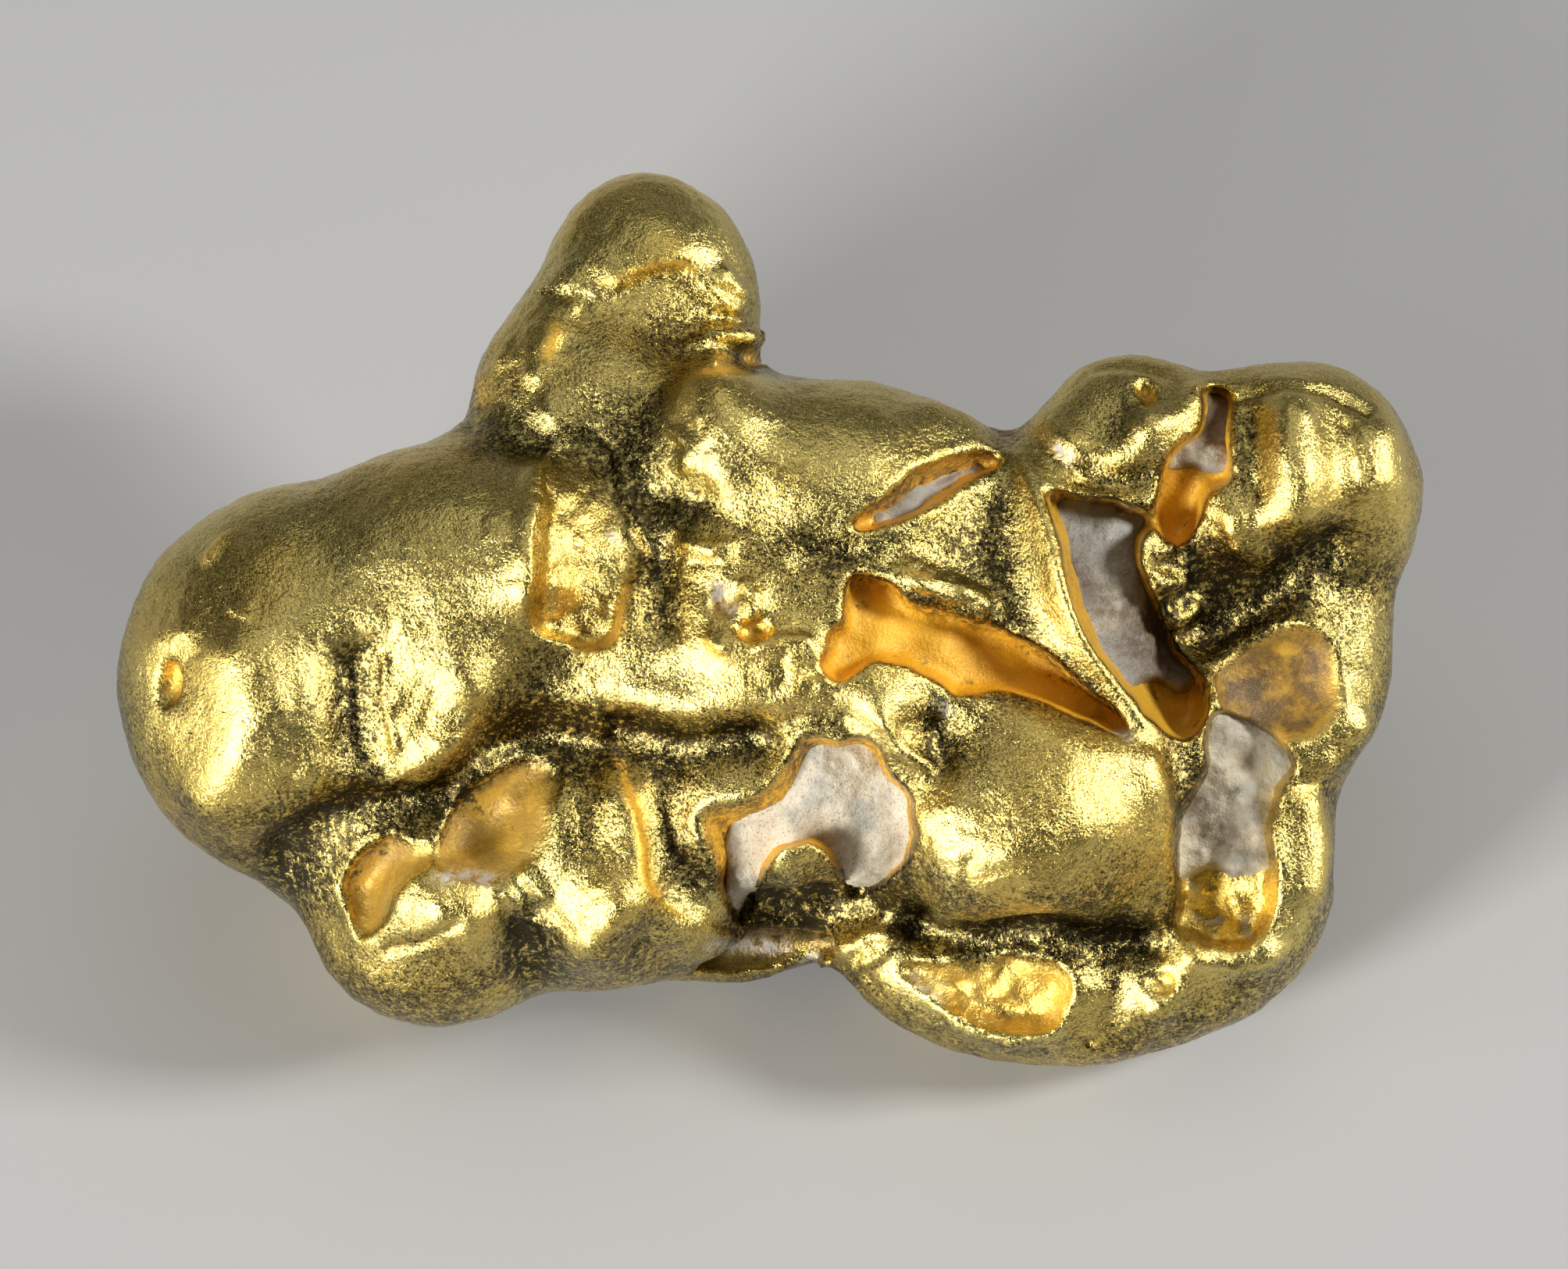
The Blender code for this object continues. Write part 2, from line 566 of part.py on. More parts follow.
def rest_cutter(helpers):
    """A box with its top on the table. It cuts the worn facet that the nugget lies on."""
    bm = bmesh.new()
    bmesh.ops.create_cube(bm, size=1, matrix=Matrix.Translation((0, 0, -2)) @
                          Matrix.Diagonal((30, 30, 4, 1)))
    return place("cut_rest", finished_mesh(bm, "cut_rest"), helpers, helper=True)


def main():
    clear_scene()
    nugget = new_collection("gold_nugget")
    helpers = new_collection("helpers")
    gold = material("native_gold", GOLD_COLOUR, 0.35, 1.0)
    quartz = material("milky_quartz", QUARTZ_COLOUR, 0.5, 0.0)

    lump = melted_lump(nugget)
    work_relief(lump)
    skin = Skin(lump)
    lump.shade_smooth()
    body = place("gold", lump, nugget)
    body.data.materials.append(gold)
    thin = body.modifiers.new("thin", "DECIMATE")
    thin.ratio = GOLD_TRIANGLES / (2 * len(lump.vertices))
    for name in HOLLOWS:
        cut(body, place("cut_" + name, hollow_mesh(name, skin), helpers, helper=True))
    for name in PITS:
        cut(body, place("cut_" + name, pit_mesh(name, skin), helpers, helper=True))
    cut(body, rest_cutter(helpers))

    for name, grain in GRAINS.items():
        block = broken_block(name, skin, grain["span"], grain["sunk"])
        stone = place(name, block, nugget)
        stone.data.materials.append(quartz)
        for held in grain["holds"]:
            seat = hollow_mesh(held, skin, SEAT_GAP)
            cut(stone, place("seat_" + name, seat, helpers, helper=True), "INTERSECT")


main()
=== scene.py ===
# Gold nugget with grains of milky quartz, on a pale table under soft studio light.
# All shapes are given in millimetres. The face frame (u, v, w) has u to the right, v up and w out
# of the nugget's broad face; the table frame (x, y, z) has z up and the table at z = 0.

import math

import bmesh
import bpy
import numpy as np
from mathutils import Matrix, Vector, noise
from mathutils.bvhtree import BVHTree
from mathutils.geometry import delaunay_2d_cdt


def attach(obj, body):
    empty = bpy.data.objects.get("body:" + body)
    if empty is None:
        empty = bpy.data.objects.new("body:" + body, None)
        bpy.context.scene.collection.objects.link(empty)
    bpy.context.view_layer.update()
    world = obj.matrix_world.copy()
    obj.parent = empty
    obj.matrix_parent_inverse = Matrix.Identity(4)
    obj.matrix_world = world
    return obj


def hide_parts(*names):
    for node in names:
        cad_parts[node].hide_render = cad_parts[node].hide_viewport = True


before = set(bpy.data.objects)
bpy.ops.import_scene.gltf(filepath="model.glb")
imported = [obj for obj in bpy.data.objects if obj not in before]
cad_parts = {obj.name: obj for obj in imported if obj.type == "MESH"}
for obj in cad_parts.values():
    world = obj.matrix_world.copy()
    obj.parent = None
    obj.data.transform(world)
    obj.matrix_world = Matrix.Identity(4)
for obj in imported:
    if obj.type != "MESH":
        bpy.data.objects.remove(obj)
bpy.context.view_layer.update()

mm = 0.001
aboveFace = 5.0  # a height w that is clear of the whole face

view = {
    "lean": 60.0,  # elevation of the face's normal above the table, in degrees
    "origin": (0.137, -0.611, 4.0),  # the face frame's origin in the table frame
    "aim": (0.04, -0.025, 0.0),  # the point of the face in the middle of the picture
    "distance": 300.0,
    "across": 20.08,  # width of the picture at the face
    "sensor": 36,  # millimetres, any size does: the lens follows from it
    "clip": (0.01, 5),  # metres
}


def faceFrame():
    lean = math.radians(view["lean"])
    upFace = Vector((0, math.sin(lean), math.cos(lean)))
    outOfFace = Vector((0, -math.cos(lean), math.sin(lean)))
    axes = Matrix((Vector((1, 0, 0)), upFace, outOfFace)).transposed()
    return Matrix.Translation(view["origin"]) @ axes.to_4x4()


face = faceFrame()
faceBack = face.inverted()


# Meshes

def addPiece(name, mesh, material=None):
    piece = bpy.data.objects.new(name, mesh)
    bpy.context.scene.collection.objects.link(piece)
    if material:
        mesh.materials.clear()
        mesh.materials.append(material)
    return piece


def endMesh(bm, name, placed=None):
    mesh = bpy.data.meshes.new(name)
    bmesh.ops.recalc_face_normals(bm, faces=bm.faces)
    bm.to_mesh(mesh)
    bm.free()
    if placed:
        mesh.transform(placed)
    mesh.transform(Matrix.Scale(mm, 4))
    return mesh


def settled(obj):  # the mesh with its modifiers applied; the object goes
    bpy.context.view_layer.update()
    graph = bpy.context.evaluated_depsgraph_get()
    mesh = bpy.data.meshes.new_from_object(obj.evaluated_get(graph))
    bpy.data.objects.remove(obj)
    return mesh


def withModifiers(mesh, *steps):  # each step is a modifier's type and its settings
    obj = addPiece("work", mesh)
    for kind, settings in steps:
        modifier = obj.modifiers.new(kind, kind)
        for name, value in settings.items():
            setattr(modifier, name, value)
    return settled(obj)


def placesOf(mesh):
    places = np.empty(len(mesh.vertices) * 3)
    mesh.vertices.foreach_get("co", places)
    return places.reshape(-1, 3)


def normalsOf(mesh):
    normals = np.empty(len(mesh.vertices) * 3)
    mesh.vertex_normals.foreach_get("vector", normals)
    return normals.reshape(-1, 3)


def setPlaces(mesh, places):
    mesh.vertices.foreach_set("co", places.ravel())
    mesh.update()


def raiseBy(mesh, rise):  # moves each point along its normal, by millimetres
    setPlaces(mesh, placesOf(mesh) + normalsOf(mesh) * (rise * mm)[:, None])


def faceSpots(mesh):  # the points' places (u, v) on the face
    return inFace(placesOf(mesh))[:, :2]


def soft(share):  # a bell that is 1 at the middle and nearly 0 from 2 on
    return np.exp(-(share ** 2))


def ramp(values, start, over):  # from 0 at the start to 1 a given way further on
    return np.clip((values - start) / over, 0, 1)


def inFace(places):  # from metres to the face frame
    turn = np.array(faceBack.to_3x3())
    return (places / mm) @ turn.T + np.array(faceBack.translation)


def outward(normals):  # how far each normal faces out of the broad face
    return normals @ np.array(face.to_3x3())[:, 2]


def roughField(places, size, seed):  # noise with features about `size` millimetres wide
    shift = Vector((seed * 13.7, seed * 5.1, seed * 9.3))
    scale = 1 / (size * mm)
    return np.array([noise.noise(Vector(p) * scale + shift) for p in places])


def neighbourMean(mesh, values, passes):
    pairs = np.empty(len(mesh.edges) * 2, int)
    mesh.edges.foreach_get("vertices", pairs)
    pairs = pairs.reshape(-1, 2)
    count = len(mesh.vertices)
    degree = np.bincount(pairs.ravel(), minlength=count).clip(1)
    for _ in range(passes):
        if values.ndim == 1:
            total = np.bincount(pairs[:, 0], values[pairs[:, 1]], count)
            total += np.bincount(pairs[:, 1], values[pairs[:, 0]], count)
            values = total / degree
        else:
            values = np.stack([neighbourMean(mesh, column, 1) for column in values.T], 1)
    return values


def storeMask(mesh, name, values):
    layer = mesh.attributes.new(name, "FLOAT", "POINT")
    layer.data.foreach_set("value", np.ascontiguousarray(values, np.float32))


# The lump of gold

lump = {
    "voxel": 0.2,  # grid that merges the lobes
    "meltPasses": 34,  # smoothing that melts the lobes into each other
    "groundPasses": 120,  # smoothing that gives the ground that valleys and crests stand out from
    "faceEdge": (-0.08, 0.4),  # outward share of the normal where the face's forms begin
    "skinVoxel": 0.068,  # grid of the finished surface
    "triangles": 190000,
    # lobes on the face: name, centre (u, v, w), half sizes, turn in the face in degrees
    "faceLobes": (
        ("pawEnd", (-5.95, -0.65, 0.1), (2.62, 2.62, 2.3), 0),
        ("pawShoulder", (-4.1, 0.6, 0.2), (2.75, 1.95, 2.25), 12),
        ("pawHeel", (-4.35, -3.05, -0.3), (1.85, 2.12, 1.95), -12),
        ("bellyLeft", (-2.35, -2.65, -0.2), (2.2, 2.0, 2.1), 0),
        ("belly", (0.0, -0.5, -0.3), (4.1, 3.2, 2.6), 0),
        ("shelf", (0.45, 1.8, 0.05), (2.75, 1.5, 2.15), -2),
        ("hornRoot", (-2.3, 3.0, -0.7), (1.72, 1.7, 1.65), 25),
        ("hornTip", (-1.66, 4.22, -1.15), (1.5, 1.8, 1.45), 10),
        ("block", (3.25, -2.25, 0.45), (1.85, 1.65, 2.0), 0),
        ("fold", (3.75, 0.6, 0.3), (1.3, 1.8, 1.75), 20),
        ("topKnob", (4.48, 2.22, 0.1), (1.36, 1.42, 1.6), 0),
        ("rightHead", (6.58, 1.8, -0.1), (1.72, 1.78, 1.8), 0),
        ("rightNeck", (6.38, -0.1, -0.5), (1.56, 2.2, 1.75), 0),
        ("rightRoll", (6.1, -2.95, -0.6), (1.06, 1.85, 1.45), 0),
        ("lowerRoll", (3.78, -3.82, -0.75), (3.15, 1.8, 1.55), 3),
        ("underLip", (-0.7, -3.92, -1.1), (1.35, 0.7, 0.85), 0),
    ),
    # lobes of the hidden side, from the table under the face frame's origin
    "underLobes": (
        ("keel", (-0.5, 0.2, 2.8), (6.2, 3.1, 3.05), 0),
        ("leftFoot", (-4.6, -0.9, 2.7), (2.9, 2.5, 2.5), 15),
        ("rightFoot", (4.1, -0.2, 2.6), (3.2, 2.5, 2.5), -12),
        ("backKnuckle", (0.6, 1.8, 3.2), (2.2, 1.4, 2.0), 20),
        ("backKnuckleRight", (5.6, 1.2, 3.4), (1.8, 1.5, 2.0), 0),
        ("backKnuckleLeft", (-4.0, 1.0, 3.3), (2.2, 1.6, 2.0), -10),
    ),
    # broad relief on the face: points (u, v), reach, height (below zero for a valley)
    "relief": (
        # the band under the shoulder
        (((-3.65, -1.45), (-3.1, -1.4), (-2.0, -1.45), (-1.0, -1.55), (-0.3, -1.45)), 0.4, -0.5),
        (((-6.4, -3.0), (-5.7, -2.5), (-4.95, -2.3), (-4.25, -2.1)), 0.4, -0.44),
        (((-2.5, -1.9), (-2.35, -2.7)), 0.3, -0.14),
        (((-1.45, -1.9), (-1.35, -2.8), (-1.1, -3.2)), 0.3, -0.24),
        # left end
        (((-6.85, -0.35), (-6.72, -0.9), (-6.85, -1.5), (-7.15, -2.0)), 0.5, 0.26),
        (((-7.6, 0.02), (-7.9, -0.1)), 0.2, 0.08),
        (((-7.78, -0.62), (-7.78, -0.72)), 0.34, -0.08),
        (((-5.42, -0.45), (-5.42, -0.9), (-5.35, -1.5)), 0.4, -0.4),
        (((-4.0, -0.6), (-3.98, -1.15)), 0.52, 0.36),
        (((-4.35, -1.5), (-4.5, -1.75)), 0.32, 0.2),
        (((-3.35, 1.2), (-3.3, 0.7)), 0.5, 0.22),
        (((-3.26, 0.5), (-3.22, 1.3), (-3.14, 2.0)), 0.16, 0.14),
        (((-5.55, -3.0), (-5.85, -3.5)), 0.4, -0.14),
        # foot of the left end
        (((-4.35, -3.45), (-4.0, -3.55)), 0.52, 0.4),
        (((-3.3, -3.75), (-3.25, -4.2)), 0.28, -0.22),
        (((-2.15, -3.5), (-2.35, -3.8)), 0.4, 0.34),
        (((-1.75, -3.95), (-1.6, -4.1)), 0.3, -0.12),
        # under the horn and across the belly
        (((-0.9, 2.85), (-0.75, 2.75)), 0.58, 0.56),
        (((-0.9, 2.1), (-0.75, 2.0)), 0.28, 0.12),
        (((-1.6, 1.75), (-1.0, 1.7)), 0.24, -0.16),
        (((-1.6, 0.9), (-1.5, 0.2)), 0.28, -0.22),
        (((-1.0, 1.05), (-0.75, 0.95)), 0.26, 0.18),
        (((-0.35, 0.55), (-0.33, 0.35)), 0.16, 0.12),
        (((-0.7, -0.15), (-0.2, -0.2), (0.2, -0.15), (0.45, -0.4)), 0.22, 0.16),
        (((-1.6, -0.5), (-1.2, -0.6)), 0.3, -0.1),
        (((0.4, 1.0), (0.8, 0.95)), 0.25, -0.14),
        # between the slits and the slot
        (((1.65, 0.72), (2.1, 0.58), (2.55, 0.38)), 0.2, 0.2),
        (((3.12, 2.15), (3.32, 1.5), (3.55, 0.7), (3.85, -0.05), (4.25, -0.65), (4.62, -1.15)),
         0.26, 0.16),
        (((2.7, 1.5), (2.95, 0.9), (3.2, 0.25)), 0.36, -0.08),
        (((3.9, 2.0), (4.35, 1.92), (4.75, 2.0)), 0.18, -0.22),
        (((1.95, 2.85), (2.4, 2.6)), 0.2, 0.12),
        # lobe and fold left of the block
        (((1.25, -0.85), (1.4, -0.85)), 0.34, 0.16),
        (((1.22, -1.05), (1.42, -1.38), (1.85, -1.7)), 0.15, 0.16),
        (((2.05, -1.25), (2.0, -1.65)), 0.2, -0.2),
        (((0.2, -1.15), (0.8, -1.15)), 0.22, -0.16),
        # block
        (((2.4, -0.95), (3.3, -1.25), (4.2, -1.6)), 0.26, 0.1),
        (((2.1, -2.4), (2.3, -3.3)), 0.5, 0.24),
        (((3.0, -2.9), (3.3, -3.2)), 0.5, 0.14),
        (((4.6, -1.7), (4.7, -1.95)), 0.26, 0.22),
        (((4.8, -2.3), (4.84, -3.2), (4.75, -3.6)), 0.22, 0.14),
        (((1.7, -3.85), (2.5, -4.08), (3.4, -3.98), (4.1, -4.12), (4.7, -4.0)), 0.32, -0.44),
        (((0.1, -2.95), (0.15, -3.05)), 0.26, 0.2),
        (((-0.2, -3.65), (0.4, -3.55), (1.1, -3.65)), 0.26, -0.4),
        (((0.8, -4.05), (1.3, -3.85)), 0.24, 0.18),
        # top knob and right head
        (((3.45, 2.6), (3.7, 2.45)), 0.24, 0.16),
        (((4.7, 2.6), (5.05, 2.72), (5.25, 2.95)), 0.2, 0.18),
        (((4.3, 2.9), (4.1, 2.6)), 0.3, -0.12),
        (((6.52, 2.75), (6.58, 2.2), (6.62, 1.6)), 0.4, 0.24),
        (((7.6, 2.45), (7.66, 2.0)), 0.32, 0.18),
        (((7.1, 2.7), (7.12, 1.8)), 0.34, -0.1),
        (((5.98, 2.8), (5.98, 1.9)), 0.26, -0.2),
        (((5.75, 1.55), (5.85, 1.1), (6.1, 0.8)), 0.2, 0.18),
        (((5.5, 0.1), (6.1, 0.35), (6.8, 0.75), (7.2, 0.9)), 0.52, -0.62),
        (((7.3, 0.3), (7.35, -0.5)), 0.36, -0.2),
        (((6.95, -1.68), (7.2, -1.45), (7.4, -1.15)), 0.18, 0.18),
        # lower rolls
        (((6.72, -2.2), (6.78, -2.8), (6.75, -3.3)), 0.22, 0.2),
        (((4.85, -4.75), (5.05, -4.5)), 0.22, 0.16),
        (((2.3, -4.95), (2.9, -5.15), (3.5, -5.05)), 0.16, 0.16),
        (((5.2, -4.15), (5.8, -4.22), (6.2, -4.1)), 0.18, 0.18),
        (((4.3, -4.6), (4.2, -5.0)), 0.25, -0.14),
        # horn
        (((-0.85, 4.45), (-0.55, 4.2)), 0.17, 0.14),
        (((-0.85, 3.85), (-0.45, 3.78)), 0.15, 0.16),
        (((-0.9, 4.05), (-0.4, 3.98)), 0.1, -0.1),
        (((-2.2, 3.9), (-1.5, 3.9)), 0.6, -0.14),
        (((-3.8, 2.35), (-3.1, 2.45)), 0.26, -0.12),
        (((-2.95, 2.78), (-2.9, 2.7)), 0.18, 0.14),
    ),
}


def lobesMesh():
    bm = bmesh.new()
    under = Matrix.Translation((view["origin"][0], view["origin"][1], 0))
    for start, lobes in ((face, lump["faceLobes"]), (under, lump["underLobes"])):
        for _, centre, halfSizes, turn in lobes:
            turned = Matrix.Rotation(math.radians(turn), 4, "Z")
            sized = Matrix.Diagonal((*halfSizes, 1))
            placed = start @ Matrix.Translation(centre) @ turned @ sized
            bmesh.ops.create_icosphere(bm, subdivisions=4, radius=1, matrix=placed)
    return endMesh(bm, "lobes")


def besideLine(points, line):  # distance to a line, and 1 on its left or -1 on its right
    line = np.array(line, float)
    nearest = np.full(len(points), np.inf)
    side = np.zeros(len(points))
    for start, end in zip(line[:-1], line[1:]):
        along = end - start
        share = np.clip((points - start) @ along / (along @ along), 0, 1)
        far = np.linalg.norm(points - (start + share[:, None] * along), axis=1)
        left = along[0] * (points - start)[:, 1] - along[1] * (points - start)[:, 0]
        closer = far < nearest
        side[closer] = np.sign(left)[closer]
        nearest = np.minimum(nearest, far)
    return nearest, side


def distanceToLine(points, line):
    return besideLine(points, line)[0]


def nearLine(spots, line, reach):  # which points lie in the line's box, widened by its reach
    low = np.min(line, 0) - 3 * reach
    high = np.max(line, 0) + 3 * reach
    return np.flatnonzero(np.all((spots > low) & (spots < high), axis=1))


def strokeRise(spots, strokes):  # height of soft strokes at points (u, v)
    rise = np.zeros(len(spots))
    for line, reach, height in strokes:
        near = nearLine(spots, line, reach)
        gap = distanceToLine(spots[near], line)
        rise[near] += height * soft(gap / reach)
    return rise


def lineShare(spots, lines):  # how near points (u, v) are to the lines, up to each one's strength
    share = np.zeros(len(spots))
    for line, reach, strength in lines:
        near = nearLine(spots, line, reach)
        gap = distanceToLine(spots[near], line)
        share[near] = np.maximum(share[near], strength * soft(gap / reach))
    return share


def onFace(mesh):  # 1 where the surface faces outward, falling to 0 just past its edge
    return ramp(outward(normalsOf(mesh)), *lump["faceEdge"])


class Skin:  # the lump before its hollows are cut
    def __init__(self, mesh):
        bm = bmesh.new()
        bm.from_mesh(mesh)
        bm.transform(faceBack @ Matrix.Scale(1 / mm, 4))
        self.tree = BVHTree.FromBMesh(bm)
        bm.free()

    def height(self, u, v):
        hit = self.tree.ray_cast(Vector((u, v, aboveFace)), Vector((0, 0, -1)))[0]
        if hit is None:
            hit = self.tree.find_nearest(Vector((u, v, 0)))[0]
        return hit.z

    def depths(self, spots):  # how far points in the face frame are from the skin
        return np.array([self.tree.find_nearest(Vector(spot))[3] for spot in spots])

    def setBulge(self, mesh, bulge):  # how far each face stands above its surroundings, in mm
        self.faceBulge = [bulge[list(polygon.vertices)].mean() for polygon in mesh.polygons]

    def bulges(self, spots):
        return np.array([self.faceBulge[self.tree.find_nearest(Vector(s))[2]] for s in spots])


print("lump: merging and melting the lobes")
lumpMesh = withModifiers(
    lobesMesh(),
    ("REMESH", {"mode": "VOXEL", "voxel_size": lump["voxel"] * mm}),
    ("SMOOTH", {"factor": 0.5, "iterations": lump["meltPasses"]}),
)
lumpMesh = withModifiers(lumpMesh, ("SUBSURF", {"levels": 1, "render_levels": 1}))
raiseBy(lumpMesh, strokeRise(faceSpots(lumpMesh), lump["relief"]) * onFace(lumpMesh))
skin = Skin(lumpMesh)
lumpPlaces = placesOf(lumpMesh)
lumpBulge = lumpPlaces - neighbourMean(lumpMesh, lumpPlaces, lump["groundPasses"])
lumpBulge = np.einsum("ij,ij->i", lumpBulge, normalsOf(lumpMesh)) / mm
skin.setBulge(lumpMesh, lumpBulge)


# Hollows

# depth, wall: width of the walls, where a point of the rim has no third number of its own; the
# share of amber, a painted reflection of the light bounced between a hollow's gold walls; the share
# of brown, partly stain and partly painted shade; lean: fall of the floor in u and v; rough: of the
# floor
hollows = {
    "centre": dict(depth=0.85, wall=0.15, amberReflection=1.0, rim=(
        (0.3, -1.3, 0.35), (0.76, -1.38), (1.05, -1.34), (1.26, -1.5), (1.4, -1.79), (1.62, -2.06),
        (1.74, -2.5), (1.66, -2.9), (1.18, -3.32), (0.96, -3.36), (0.76, -3.16), (0.66, -2.92),
        (0.5, -2.74), (0.3, -2.68), (0.05, -2.76), (-0.14, -2.93), (-0.28, -3.22), (-0.38, -3.52),
        (-0.5, -3.7), (-0.65, -3.56), (-0.77, -3.27, 0.1), (-0.86, -2.93, 0.31),
        (-1.02, -2.6, 0.53), (-1.1, -2.36, 0.63), (-0.86, -2.21, 0.59), (-0.56, -2.16, 0.56),
        (-0.24, -2.04, 0.5), (-0.02, -1.79, 0.42), (0.15, -1.5, 0.39),
    )),
    "slot": dict(depth=0.95, wall=0.14, amberReflection=0.9, stainAndShade=0.2, rim=(
        (3.3, 2.08), (3.43, 1.84), (3.98, 1.73), (4.64, 1.58), (4.8, 1.4), (4.62, 1.2),
        (4.57, 0.95), (4.72, 0.64), (4.84, 0.36), (5.0, -0.06), (5.24, -0.38), (5.42, -0.64),
        (5.43, -0.98), (5.34, -1.24), (5.1, -1.36), (4.75, -1.18, 0.25), (4.4, -0.8, 0.26),
        (3.96, -0.2, 0.26), (3.7, 0.34, 0.26), (3.56, 1.1, 0.24), (3.42, 1.55, 0.2),
    )),
    "slit": dict(depth=0.48, wall=0.1, rough=0.07, amberReflection=1.0, rim=(
        (0.84, 0.72), (1.24, 0.71), (1.54, 0.53), (1.72, 0.37), (2.18, 0.28), (2.56, 0.15),
        (2.91, -0.01), (3.23, -0.11), (3.52, -0.3), (3.74, -0.55), (3.99, -0.78), (4.2, -0.92),
        (4.42, -1.2), (4.32, -1.33), (4.03, -1.19), (3.64, -1.03), (3.23, -0.85), (2.76, -0.76),
        (2.4, -0.8), (2.2, -0.8), (2.05, -0.66), (1.79, -0.52), (1.54, -0.4), (1.22, -0.38),
        (0.97, -0.49), (0.72, -0.64), (0.5, -0.44), (0.6, -0.26), (0.62, 0.06), (0.78, 0.12),
    )),
    "upperSlit": dict(depth=0.65, wall=0.12, rim=(
        (0.86, 1.34), (1.08, 1.6, 0.22), (1.4, 1.8, 0.28), (1.64, 2.03, 0.3), (2.0, 2.21, 0.3),
        (2.4, 2.34, 0.25), (2.68, 2.29, 0.2), (2.88, 2.14), (2.66, 2.0), (2.34, 1.85), (2.02, 1.64),
        (1.7, 1.46), (1.38, 1.36), (1.05, 1.28),
    )),
    "trough": dict(depth=0.62, wall=0.12, amberReflection=0.15, rough=0.14, lean=(0.12, 0.0), rim=(
        (5.55, -1.02), (5.4, -1.36), (5.4, -1.72), (5.2, -2.09), (5.07, -2.48), (5.03, -3.15),
        (5.02, -3.78), (5.22, -3.96), (5.66, -4.05), (6.04, -3.96), (6.24, -3.68), (6.34, -3.15),
        (6.27, -2.52), (6.38, -2.04), (6.6, -1.7), (6.35, -1.3), (5.95, -1.06),
    )),
    "notch": dict(depth=0.6, wall=0.12, amberReflection=0.9, rim=(
        (5.34, 3.12), (5.72, 3.08), (5.78, 2.68), (5.76, 2.25), (5.76, 1.9), (5.48, 1.78),
        (5.39, 1.51), (5.24, 1.22), (5.02, 1.06), (4.84, 1.22), (4.74, 1.5), (4.82, 1.8),
        (4.89, 2.17), (5.09, 2.43), (5.33, 2.6), (5.39, 2.9),
    )),
    "scoop": dict(depth=0.52, wall=0.38, amberReflection=0.7, stainAndShade=0.6, rim=(
        (-4.38, -2.92), (-4.34, -2.49), (-4.05, -2.06), (-3.53, -1.71), (-3.16, -1.6),
        (-2.84, -1.75), (-2.76, -1.95, 0.6), (-2.88, -2.25, 0.8), (-2.9, -2.6, 0.9),
        (-3.1, -2.95, 0.9), (-3.6, -3.2, 0.8), (-4.1, -3.12, 0.6),
    )),
    "heelScoop": dict(depth=0.45, wall=0.34, amberReflection=0.7, stainAndShade=0.6, lean=(0.25, 0.0), rim=(
        (-5.55, -3.49), (-5.6, -3.19), (-5.42, -2.86), (-5.02, -2.6), (-4.6, -2.7), (-4.4, -2.62),
        (-4.42, -2.88), (-4.75, -3.2), (-5.05, -3.7), (-5.37, -3.9),
    )),
    "crumple": dict(depth=0.2, wall=0.16, amberReflection=0.0, lean=(0.06, 0.12), rough=0.08, rim=(
        (-2.98, 2.24), (-3.08, 1.57), (-3.14, 0.8), (-3.18, 0.1), (-2.57, -0.2), (-2.16, -0.17),
        (-2.04, 0.02), (-1.91, 0.55), (-1.72, 1.06), (-1.98, 1.7), (-2.2, 2.5), (-2.4, 2.64),
        (-2.68, 2.48),
    )),
    "lowerScoop": dict(depth=0.4, wall=0.3, amberReflection=0.4, rough=0.12, rim=(
        (1.5, -4.3), (1.88, -4.2), (2.29, -4.22), (2.7, -4.14), (3.23, -4.14), (3.64, -4.3),
        (3.74, -4.54), (3.6, -4.9), (3.3, -5.1), (2.62, -5.1), (2.05, -4.72),
    )),
    "hornNotch": dict(depth=0.62, wall=0.14, amberReflection=0.9, rim=(
        (-1.2, 3.3), (-0.8, 3.54), (-0.41, 3.64), (-0.05, 3.62), (-0.1, 3.42), (-0.37, 3.28),
        (-0.8, 3.27),
    )),
    "trianglePit": dict(depth=0.28, wall=0.1, rim=(
        (4.5, 3.22), (4.72, 3.18), (4.8, 2.92), (4.62, 2.84), (4.54, 3.02),
    )),
}

# round pits; turn is in degrees in the face
pits = {
    "socket": dict(centre=(6.5, -0.66), halfSizes=(0.98, 0.82), depth=0.65, turn=-20, stainAndShade=0.95,
                   amberReflection=0.9),
    "eye": dict(centre=(-7.78, -0.66), halfSizes=(0.2, 0.34), depth=0.22, turn=-14, amberReflection=0.6),
    "pinhole": dict(centre=(-0.35, 0.03), halfSizes=(0.24, 0.17), depth=0.24, turn=0, amberReflection=0.5),
    "purplePit": dict(centre=(-0.75, 0.4), halfSizes=(0.17, 0.22), depth=0.16, turn=0, stainAndShade=1.0),
    "rollPit": dict(centre=(4.86, -4.46), halfSizes=(0.2, 0.2), depth=0.16, turn=0, amberReflection=0.4),
    "lowPit": dict(centre=(3.95, -5.3), halfSizes=(0.12, 0.1), depth=0.1, turn=0, amberReflection=0.4),
    "recess": dict(centre=(-0.2, -4.1), halfSizes=(1.05, 0.3), depth=0.4, turn=5, amberReflection=0.1,
                   stainAndShade=0.8),
}

cutting = {
    "rimStep": 0.07,
    "floorCell": 0.13,
    "lip": 0.06,  # sheer drop at a rim
    "wallCurve": 1.15,  # above 1, a wall falls fastest at its rim
    "rimRaggedness": 0.035,
    "floorRoughness": 0.05,
    "tears": ((4, 5.5, 1.0), (9, 1.5, 0.5)),  # noise of a rim: how fine, its level, strength
    "floorNoise": ((2.6, 2.2, 1.0), (7, 9.0, 0.5)),
    "wallRings": (0.35, 0.7, 1.0),  # rows of points down a wall, as shares of its width
    "clear": 0.6,  # least gap between points of a floor, as a share of its cell
    "pitUnevenness": 0.03,
    "rolledRim": 0.03,  # how far the gold stands up around a hollow
    "rolledReach": 0.12,
}


